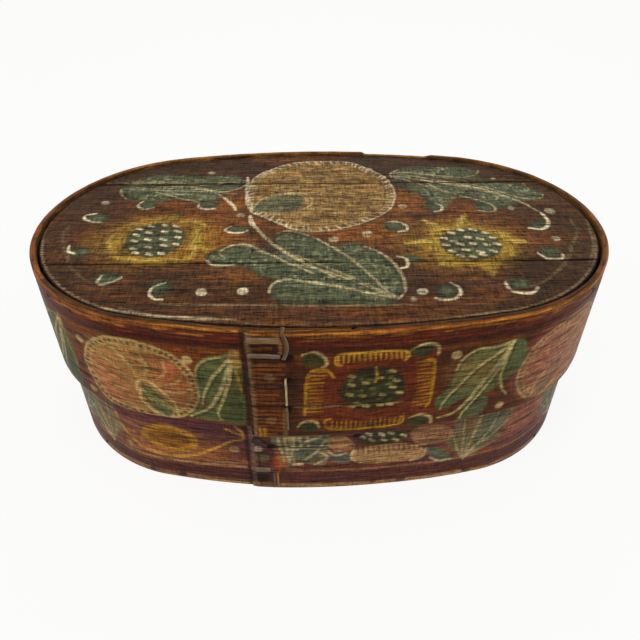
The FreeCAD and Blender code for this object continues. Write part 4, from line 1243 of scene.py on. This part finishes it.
flowerRing = [(-58, 82), (-52, 92), (-44, 99), (-33, 108), (-20, 114), (-6, 116), (12, 116),
              (29, 114), (39, 107), (47, 98), (55, 90), (62, 78), (65, 64), (66, 50), (64, 38),
              (60, 26), (52, 15), (40, 5), (25, -4), (8, -10), (-10, -11), (-22, -7), (-32, 1),
              (-42, 9), (-50, 15), (-57, 22), (-61, 34), (-63, 48), (-61, 62), (-60, 72)]


def paintLidTop(p):
    c = lidTop
    p.wash(c["plum"], 0.55, 60, 18, 101)
    p.wash(c["umber"], 0.5, 34, 8, 102)
    p.wash(c["redBrown"], 0.6, 80, 12, 103)
    p.glow(0, 150, 330, 84, c["umber"], 0.9, 0.5)
    for x, y, rx, ry, colour, amount in [
            (-120, -15, 75, 62, "orange", 0.85), (-82, -22, 40, 55, "orange", 0.85),
            (-60, -62, 46, 26, "orange", 0.7), (110, -20, 78, 60, "orange", 0.75),
            (74, 38, 44, 34, "orange", 0.8), (40, -12, 40, 30, "orange", 0.9),
            (122, 26, 34, 24, "orangeDark", 0.9), (-120, 30, 70, 30, "orangeDark", 0.8),
            (-75, 42, 26, 26, "orange", 0.8), (-20, 120, 60, 14, "orangeDark", 0.8),
            (100, -78, 60, 26, "orangeDark", 0.7), (-50, 4, 14, 20, "orange", 0.8),
            (160, -10, 40, 34, "orangeDark", 0.6), (20, -118, 260, 30, "orangeDark", 0.9),
            (-150, -96, 90, 30, "orangeDark", 0.6), (-5, -10, 40, 20, "orange", 0.8)]:
        p.glow(x, y, rx, ry, c[colour], amount, 0.8)
    for x, y, rx, ry, amount in [
            (-40, -90, 24, 14, 0.7), (-108, -74, 34, 22, 0.6), (74, -84, 34, 20, 0.6),
            (154, -62, 30, 30, 0.7), (-150, -30, 26, 40, 0.5), (-180, 20, 34, 40, 0.6),
            (178, 8, 34, 34, 0.55), (-100, 52, 40, 16, 0.5), (60, -8, 22, 12, 0.5),
            (-60, -10, 20, 14, 0.5), (160, -96, 50, 24, 0.6), (-130, -104, 60, 20, 0.6),
            (98, 22, 22, 18, 0.4), (20, -118, 240, 12, 0.35)]:
        p.glow(x, y, rx, ry, "#2c1c18", amount, 0.8)
    p.wash(c["plum"], 0.5, 26, 5, 107, 0.4, 0.75, p.y < -58)
    p.wash(c["umber"], 0.4, 20, 1.8, 104)
    p.wash(c["umber"], 0.3, 8, 4, 105)
    for x, y, rx, ry, amount in [(-128, -22, 60, 46, 0.7), (108, -30, 58, 44, 0.6)]:
        p.glow(x, y, rx, ry, c["yellow"], amount, 0.9)
    # yellow round the thistles
    for points, width, amount in [
            ([(-152, -48), (-128, -51), (-102, -50)], 9, 0.75),
            ([(-98, -48), (-95, -30), (-97, -8), (-99, 4)], 10, 0.8),
            ([(-158, -2), (-142, 5), (-128, 8), (-104, 6)], 9, 0.6),
            ([(-154, -44), (-158, -30), (-154, -16)], 9, 0.5),
            ([(-118, 18), (-120, 10)], 6, 0.5), ([(-84, -40), (-94, -26)], 7, 0.7)]:
        p.stroke(points, width, c["yellow"], amount, (0.6, 0.5), 2.2)
    for points in ([(-98, -46), (-96, -30), (-98, -10)], [(-150, -47), (-128, -50), (-106, -49)],
                   [(-104, 6), (-94, 2), (-88, -6)], [(-160, -34), (-164, -22), (-160, -10)]):
        p.stroke(points, 4.0, c["yellowPale"], 0.55, (0.5, 0.4), 1.6)
    star = [(65, -30), (82, -24), (88, -10), (83, 6), (96, -2), (105, -4), (120, 16), (121, -1),
            (135, -10), (146, -14), (160, -29), (147, -33), (146, -47), (133, -55), (122, -76),
            (115, -61), (100, -62), (87, -60), (85, -41)]
    p.patch(star, c["yellow"], 0.72, 2.4, smooth=False)
    for points in ([(66, -30), (80, -27), (92, -30)], [(84, 5), (92, -3), (99, -10)],
                   [(119, 14), (114, 2), (110, -5)], [(158, -29), (146, -28)],
                   [(148, -17), (140, -15)], [(88, -58), (94, -52)]):
        p.stroke(points, 5.0, c["yellowPale"], 0.75, (0.5, 0.5), 1.4)
    # the round flower
    middle = np.array([2.0, 53.0])
    p.patch(flowerRing, c["flower"], 0.95, 1.2, 0.35)
    inner = drawnIn(flowerRing, middle, 6.5)
    where = p.near(inner.min(0), inner.max(0), 2)
    blotch = ease(mottle(p.x[where], p.y[where], 7, 4, 111), 0.45, 0.8)
    inFlower = 1 - ease(np.hypot((p.x[where] - 2) / 61, (p.y[where] - 53) / 61), 0.95, 1.02)
    p.lay(where, 0.6 * blotch * inFlower, c["flowerDark"])
    pale = ease(mottle(p.x[where], p.y[where], 9, 3, 112), 0.5, 0.85)
    p.lay(where, 0.55 * pale * inFlower, c["flowerPale"])
    ring = smoothLine(flowerRing, closed=True)
    innerRing = smoothLine(drawnIn(flowerRing, middle, 6.0), closed=True)
    p.stroke(smoothLine(drawnIn(flowerRing, middle, 3.0), closed=True), 5.0, c["flowerDark"], 0.6,
             smooth=False)
    p.stroke(ring, 1.5, c["creamBright"], 0.55, soft=0.5, smooth=False)
    p.stroke(innerRing, 1.0, c["cream"], 0.3, soft=0.5, smooth=False)
    p.stroke(smoothLine(drawnIn(flowerRing, middle, 8.2), closed=True), 1.8, c["flowerDark"], 0.5,
             smooth=False)
    steps = np.linspace(0, len(ring) - 1, 70).astype(int)
    for a, b in zip(steps[:-1], steps[1:]):
        bright = 0.3 + 0.7 * mottle(ring[a][0], ring[a][1], 9, 9, 115)
        p.stroke([ring[a], innerRing[(a + b) // 2]], 2.0, c["creamBright"], bright,
                 (1, 0.4), 0.5, smooth=False)
    p.patch([(-57, 25), (-50, 38), (-38, 46), (-25, 49), (-16, 48), (-12, 40), (-14, 31),
             (-22, 24), (-35, 20), (-48, 21)], c["green"], 0.9)
    for points in ([(-56, 27), (-46, 46), (-31, 52), (-17, 54), (-8, 47), (-6, 36), (-12, 26),
                    (-25, 19), (-42, 16)], [(-38, 48), (-24, 52), (-14, 48), (-10, 38)]):
        p.stroke(points, 1.8, c["cream"], 0.7)
    # leaves, veins, curls, thistle heads and dots
    for colour, amount, outline in lidTopLeaves:
        p.patch(outline, c["greenDark"], amount, 1.2, 0.2)
        where, inside = p.patch(drawnIn(outline, np.mean(outline, 0), 5.0), c[colour],
                                amount * 0.85, 4.0, 0.3)
        chalk = ease(mottle(p.x[where], p.y[where], 1.9, 2.4, 113), 0.5, 0.85)
        chalk = chalk * ease(mottle(p.x[where], p.y[where], 16, 9, 114), 0.25, 0.7)
        p.lay(where, inside * chalk * 0.75, "#949a86")
    for blob, line in lidTopCurls:
        p.dot(*blob, c["greenDark"], 0.9, 1.2)
        p.dot(blob[0], blob[1], blob[2] * 0.6, blob[3] * 0.6, c["green"], 0.6, 1.4)
        if line:
            p.stroke(line, 2.5, c["creamBright"], 0.9, (0.6, 0.8))
    for colour, width, amount, points in lidTopVeins:
        # a painted shadow a little below each vein, then the cream stroke
        p.stroke([(x + 0.5, y - width * 0.9) for x, y in points], width * 0.8, c["umber"],
                 amount * 0.5, (0.7, 0.5))
        p.stroke(points, width * 1.1, c[colour], min(1, amount * 1.2), (0.75, 0.6))
    for middle, radii, seeds in thistles:
        p.dot(*middle, *radii, c["greenDark"], 0.92, 1.6)
        p.dot(middle[0] + 2, middle[1], radii[0] * 0.78, radii[1] * 0.8, c["green"], 0.5, 4)
        for x, y in seeds:
            p.stroke([(x - 1.6, y + 0.7), (x + 1.6, y - 0.7)], 3.0, c["creamBright"], 0.9)
            # a painted shadow below each seed mark
            p.stroke([(x - 2.6, y - 3.0), (x + 2.0, y - 4.2)], 2.0, c["umber"], 0.6)
    for x, y, radius, amount in lidTopDots:
        p.dot(x, y, radius, radius, c["creamBright"], amount)
    # dirt streaks, the top darker towards the oval's edge, dark joints and the worn front
    p.wash("#2c1b12", 0.45, 26, 1.7, 106, 0.55, 0.8)
    edge = ease(np.hypot(p.x / 222, p.y / 133), 0.94, 1.03)
    p.lay(p.every, edge * 0.6, c["umber"])
    for y in (rearJointAt, frontJointAt):
        line = 1 - ease(np.abs(p.y - y), 0.5, 1.6)
        filled = 0.35 + 0.6 * ease(np.abs(p.x + 10), 60, 190) if y < 0 else 0.9
        p.lay(p.every, line * filled, "#0e0805", -0.3)
    p.stroke([(-205, 75), (-120, 75.2), (-62, 74)], 1.2, c["cream"], 0.3)
    p.stroke([(-150, -107), (-110, -116), (-72, -119)], 1.6, c["creamBright"], 0.5)


jointHalf = boxShape["jointGap"] / 2
rearJointAt = boxShape["rearJoint"] * boxShape["halfWidth"]
frontJointAt = boxShape["frontJoint"] * boxShape["halfWidth"]
boardReach = boxShape["halfWidth"] - boxShape["wall"] - boxShape["boardGap"]
plankSpans = {
    "lidPlankFront": ("lid_plank_front", -boardReach, frontJointAt - jointHalf),
    "lidPlankMiddle": ("lid_plank_middle", frontJointAt + jointHalf, rearJointAt - jointHalf),
    "lidPlankRear": ("lid_plank_rear", rearJointAt + jointHalf, boardReach),
}
for plankName, (node, low, high) in plankSpans.items():
    px, py, pz, edgeGap = plankMesh(low, high)
    painting = Painting(np.stack([px.ravel(), py.ravel()], -1), lidBoards["ground"],
                        lidBoards["under"], lidBoards["thin"])
    paintLidTop(painting)
    # painted shade in the gap beside the rim; along the front, the arris beside it rubbed pale
    # towards the corners, partly a painted highlight
    gap = edgeGap.ravel()
    arris = ease(gap, 1.0, 1.9) * (1 - ease(gap, 2.8, 4.2)) * (painting.y < -20)
    arris = arris * (0.25 + 0.75 * ease(np.abs(painting.x + 10), 70, 130))
    arris = arris * (0.4 + 0.6 * mottle(painting.x, painting.y, 25, 9, 142))
    painting.lay(painting.every, arris * 0.6, lidBoards["arris"], -0.1)
    painting.lay(painting.every, 0.95 - 0.95 * ease(gap, 0.9, 1.8), lidBoards["gapShade"], 0.0)
    plank = closedPlank(plankName, px, py, pz, boardLow, painting)
    plank.data.materials.append(lidBoardMaterial)
    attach(plank, "lid")
    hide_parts(node)
    print(plankName, "made,", px.size, "points")


# split root lacing

rootSewing = {"play": 0.05, "crown": 0.45, "acrossPoints": 11, "pointStep": 1.2,
              "topHighlight": 0.38, "highlightTint": "#a69480"}
rootStraps = {
    # millimetres: upright ones run up the wall, the others level round it; run is from end to end,
    # at is the place across, groove is how deep the inner side lies in the wall, and bow bends it.
    # Its outer side lies on the full lap, on the wall, as a bridge from one end to the other, or
    # sunk flush where the lid slides over it.
    "lidStrapUpper": {"node": "lid_lap_strap_upper", "body": "lid", "upright": False,
        "run": (-48.4, -28.4), "at": 164.5, "width": 5.6, "thick": 1.0,
        "face": "lap", "tint": "#7e5c30"},
    "lidStrapLower": {"node": "lid_lap_strap_lower", "body": "lid", "upright": False,
        "run": (-48.4, -28.6), "at": 151.4, "width": 4.0, "thick": 1.0,
        "face": "lap", "tint": "#6c5644", "groove": 1.2},
    "lidStrapRim": {"node": "lid_rim_strap", "body": "lid", "upright": True,
        "run": (149.0, 170.0), "at": -26.0, "width": 3.2, "thick": 1.0,
        "face": "wall", "tint": "#5e3e20", "groove": 1.2, "bow": 2.4},
    "lidStitchUpper": {"node": "lid_seam_stitch_upper", "body": "lid", "upright": True,
        "run": (105.502, 129.506), "at": -25.2, "width": 1.8, "thick": 0.8,
        "face": "wall", "tint": "#b09a70", "groove": 1.2},
    "lidStitchLower": {"node": "lid_seam_stitch_lower", "body": "lid", "upright": True,
        "run": (80.495, 101.507), "at": -25.2, "width": 1.8, "thick": 0.8,
        "face": "wall", "tint": "#6a4c30", "groove": 1.2},
    "boxStrapCorner": {"node": "body_corner_strap", "body": "box", "upright": False,
        "run": (-53.0, -42.0), "at": 23.4, "width": 6.0, "thick": 1.0,
        "face": "lap", "tint": "#6c5842"},
    "boxStitchLap": {"node": "body_lap_stitch", "body": "box", "upright": False,
        "run": (-24.0, 2.0), "at": 50.4, "width": 1.3, "thick": 0.8,
        "face": "bridge", "tint": "#7c6a50"},
    "boxStrapTop": {"node": "body_top_strap", "body": "box", "upright": False,
        "run": (-44.0, -26.0), "at": 128.0, "width": 4.0, "thick": 0.6,
        "face": "sunk", "tint": "#8c7048"},
    "boxStrandLeft": {"node": "body_foot_strands", "body": "box", "upright": True,
        "run": (1.5, 19.0), "at": -38.6, "width": 1.9, "thick": 0.8,
        "face": "wall", "tint": "#5c3c22"},
    "boxStrandRight": {"node": "body_foot_strands", "body": "box", "upright": True,
        "run": (1.5, 19.0), "at": -35.8, "width": 1.9, "thick": 0.8,
        "face": "wall", "tint": "#8c6434"},
}


rootFibre = {"long": 9.0, "wide": 0.55, "relief": 0.0003}   # millimetres, and metres of relief


def splitRoot(name):
    # split spruce root: half-round strand with long fibres; its tint is paler on top from a painted
    # highlight and darker at its edges
    material, tree = freshMaterial(name)
    strand = addNode(tree, "ShaderNodeAttribute", {"attribute_name": "strand"}).outputs["Vector"]
    tint = addNode(tree, "ShaderNodeAttribute", {"attribute_name": "paint"}).outputs["Color"]
    fibres = addNode(tree, "ShaderNodeMapping",
                     {"Scale": (1 / rootFibre["long"], 1 / rootFibre["wide"], 1)},
                     {"Vector": strand})
    fibres = addNode(tree, "ShaderNodeTexNoise", {"Scale": 1.0, "Detail": 3.0},
                     {"Vector": fibres.outputs[0]}).outputs["Fac"]
    shade = addNode(tree, "ShaderNodeMapRange", {"From Min": 0.35, "From Max": 0.65,
                    "To Min": 0.45, "To Max": 1.35}, {"Value": fibres})
    colour = addNode(tree, "ShaderNodeVectorMath", {"operation": "SCALE"},
                     {0: tint, "Scale": shade.outputs[0]})
    bump = addNode(tree, "ShaderNodeBump", {"Strength": 0.6, "Distance": rootFibre["relief"]},
                   {"Height": fibres})
    surface = addNode(tree, "ShaderNodeBsdfPrincipled",
                      {"Roughness": 0.5, "IOR": 1.47, "Specular IOR Level": 0.22},
                      {"Base Color": colour.outputs[0], "Normal": bump.outputs[0]})
    addNode(tree, "ShaderNodeOutputMaterial", {}, {"Surface": surface.outputs[0]})
    return material


def rootPath(low, high, outer, inner):
    # round the loop: underside place and outward direction, with turned corners
    corners = [(low, outer), (high, outer), (high, inner), (low, inner)]
    outward = [(0, -1), (1, 0), (0, 1), (-1, 0)]
    spots, ways = [], []
    for i in range(4):
        start, end = np.array(corners[i], float), np.array(corners[(i + 1) % 4], float)
        count = max(2, int(np.hypot(*(end - start)) / rootSewing["pointStep"]))
        for t in np.linspace(0, 1, count):
            spots.append(start + (end - start) * t)
            ways.append(outward[i])
        a, b = np.array(outward[i], float), np.array(outward[(i + 1) % 4], float)
        for turn in (0.25, 0.5, 0.75):
            spots.append(end)
            ways.append(a * math.cos(turn * math.pi / 2) + b * math.sin(turn * math.pi / 2))
    return np.array(spots), np.array(ways, float)


def rootLoop(name, strap):
    node, body, upright, at = strap["node"], strap["body"], strap["upright"], strap["at"]
    (low, high), width, thick = strap["run"], strap["width"], strap["thick"]
    shape = lidWallShape if body == "lid" else boxWallShape
    middle = at if upright else (low + high) / 2
    outerFace = {"lap": shape.out(middle) - shape.proud, "wall": shape.overOuter(at),
                 "bridge": min(shape.overOuter(low), shape.overOuter(high)),
                 "sunk": shape.overOuter(low) + thick}[strap["face"]]
    play = rootSewing["play"]
    innerFace = shape.inside(middle) - strap.get("groove", 0.0)
    spots, ways = rootPath(low, high, outerFace - play, innerFace + play)
    a = np.linspace(-1, 1, rootSewing["acrossPoints"])
    height = thick * (1 - rootSewing["crown"] * np.abs(a) ** 3)
    run = np.cumsum(np.hypot(*np.diff(spots, axis=0, prepend=spots[:1]).T) + 0.15)
    uneven = 1 - 0.22 * mottle(run[:, None] + at, a[None, :] * width + 3 * at, 3, 0.8, 61)
    narrow = 1 - 0.10 * mottle(run, run * 0 + at, 7, 9, 62)
    top = spots[:, None, :] + ways[:, None, :] * (height * uneven)[..., None]
    base = np.repeat(spots[:, None, :], 2, 1)
    section = np.concatenate([top, base], 1)
    across = np.concatenate([a, [1, -1]]) * width / 2
    drift = 0.9 * (mottle(run, run * 0 + at, 6, 9, 64) - 0.5) * min(1, width / 4)
    across = across[None, :] * narrow[:, None] + drift[:, None]
    along, depth = section[..., 0], section[..., 1]
    if upright:
        bent = np.sin(np.pi * np.clip((along - low) / (high - low), 0, 1))
        lean = strap.get("bow", 0.0) * bent
        points = wallPoint(at + across + lean, depth, along)
    else:
        points = wallPoint(along, depth, at + across)
    loop = gridMesh(name, points, True, False, ring=True)
    if upright:
        loop.data.flip_normals()
    strand = np.stack([np.repeat(run[:, None], across.shape[1], 1), across, across * 0], -1)
    pointVector(loop.data, "strand", strand.reshape(-1, 3))
    # darker towards the strand's edges; paler on one side as a painted highlight: the upper side of a
    # level strand, the right side of an upright one
    edge = 1 - 0.55 * np.abs(across / (width / 2)) ** 4
    worn = 0.75 + 0.5 * mottle(run[:, None] + at, across + at, 5, 2, 63)
    colours = np.array(linearColour(strap["tint"])) * (edge * worn)[..., None]
    pale = ease(across / (width / 2), 0.1, 0.7)[..., None] * rootSewing["topHighlight"]
    highlightTint = np.array(linearColour(rootSewing["highlightTint"])) * edge[..., None]
    colours = colours * (1 - pale) + highlightTint * pale
    pointColour(loop.data, "paint", colours.reshape(-1, 3))
    loop.data.materials.append(rootMaterial)
    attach(loop, body)
    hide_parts(node)


rootMaterial = splitRoot("split spruce root, sewn wet and worn")
for strapName, strap in rootStraps.items():
    rootLoop(strapName, strap)
print("root lacing made,", len(rootStraps), "strands")


# pegs, dowels, bottom planks and the carved knob keep their solids

bareWood = {   # colour of the open wood, of its dark rings, and the grain's length and width in mm
    "pegs": ("#4a2f1c", "#1f120b", 6.0, 1.2), "knob": ("#3a2620", "#150c0a", 7.0, 2.0),
    "bottom": ("#9a7a54", "#6a4a2e", 60.0, 3.2),
}
stainSize = 25.0   # millimetres


def scrapedPine(name, settings):
    # unpainted pine, planed or whittled, grey-brown with age; rings run along the board
    light, dark, along, across = settings
    material, tree = freshMaterial(name)
    place = addNode(tree, "ShaderNodeTexCoord").outputs["Object"]
    grain = addNode(tree, "ShaderNodeMapping",
                    {"Scale": (1 / (along * mm), 1 / (across * mm), 1 / (across * mm))},
                    {"Vector": place})
    grain = addNode(tree, "ShaderNodeTexNoise", {"Scale": 1.0, "Detail": 4.0, "Distortion": 0.4},
                    {"Vector": grain.outputs[0]}).outputs["Fac"]
    stain = addNode(tree, "ShaderNodeTexNoise", {"Scale": 1 / (stainSize * mm), "Detail": 4.0},
                    {"Vector": place}).outputs["Fac"]
    share = addNode(tree, "ShaderNodeMapRange", {"From Min": 0.38, "From Max": 0.62},
                    {"Value": grain})
    colour = addNode(tree, "ShaderNodeMix", {"data_type": "RGBA", 6: (*linearColour(dark), 1),
                     7: (*linearColour(light), 1)}, {0: share.outputs[0]})
    shade = addNode(tree, "ShaderNodeMapRange", {"From Min": 0.3, "From Max": 0.7,
                    "To Min": 0.65, "To Max": 1.15}, {"Value": stain})
    finish = addNode(tree, "ShaderNodeVectorMath", {"operation": "SCALE"},
                     {0: colour.outputs[2], "Scale": shade.outputs[0]})
    rough = addNode(tree, "ShaderNodeMapRange", {"To Min": 0.55, "To Max": 0.8}, {"Value": stain})
    bump = addNode(tree, "ShaderNodeBump", {"Strength": 0.5, "Distance": 0.0005}, {"Height": grain})
    surface = addNode(tree, "ShaderNodeBsdfPrincipled", {"IOR": 1.47, "Specular IOR Level": 0.3},
                      {"Base Color": finish.outputs[0], "Roughness": rough.outputs[0],
                       "Normal": bump.outputs[0]})
    addNode(tree, "ShaderNodeOutputMaterial", {}, {"Surface": surface.outputs[0]})
    return material


pegMaterial = scrapedPine("whittled pine pegs, dark with dirt", bareWood["pegs"])
knobMaterial = scrapedPine("carved birch knob, nearly black", bareWood["knob"])
bottomMaterial = scrapedPine("scraped pine, never painted", bareWood["bottom"])
solidFinishes = {"lid_pegs": pegMaterial, "bottom_pegs": pegMaterial,
                 "lid_plank_dowels": pegMaterial, "bottom_plank_dowels": pegMaterial,
                 "body_seam_peg": knobMaterial, "bottom_plank_front": bottomMaterial,
                 "bottom_plank_rear": bottomMaterial}
for node, finish in solidFinishes.items():
    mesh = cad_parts[node].data
    mesh.materials.clear()
    mesh.materials.append(finish)
print("solids given their wood,", len(solidFinishes))
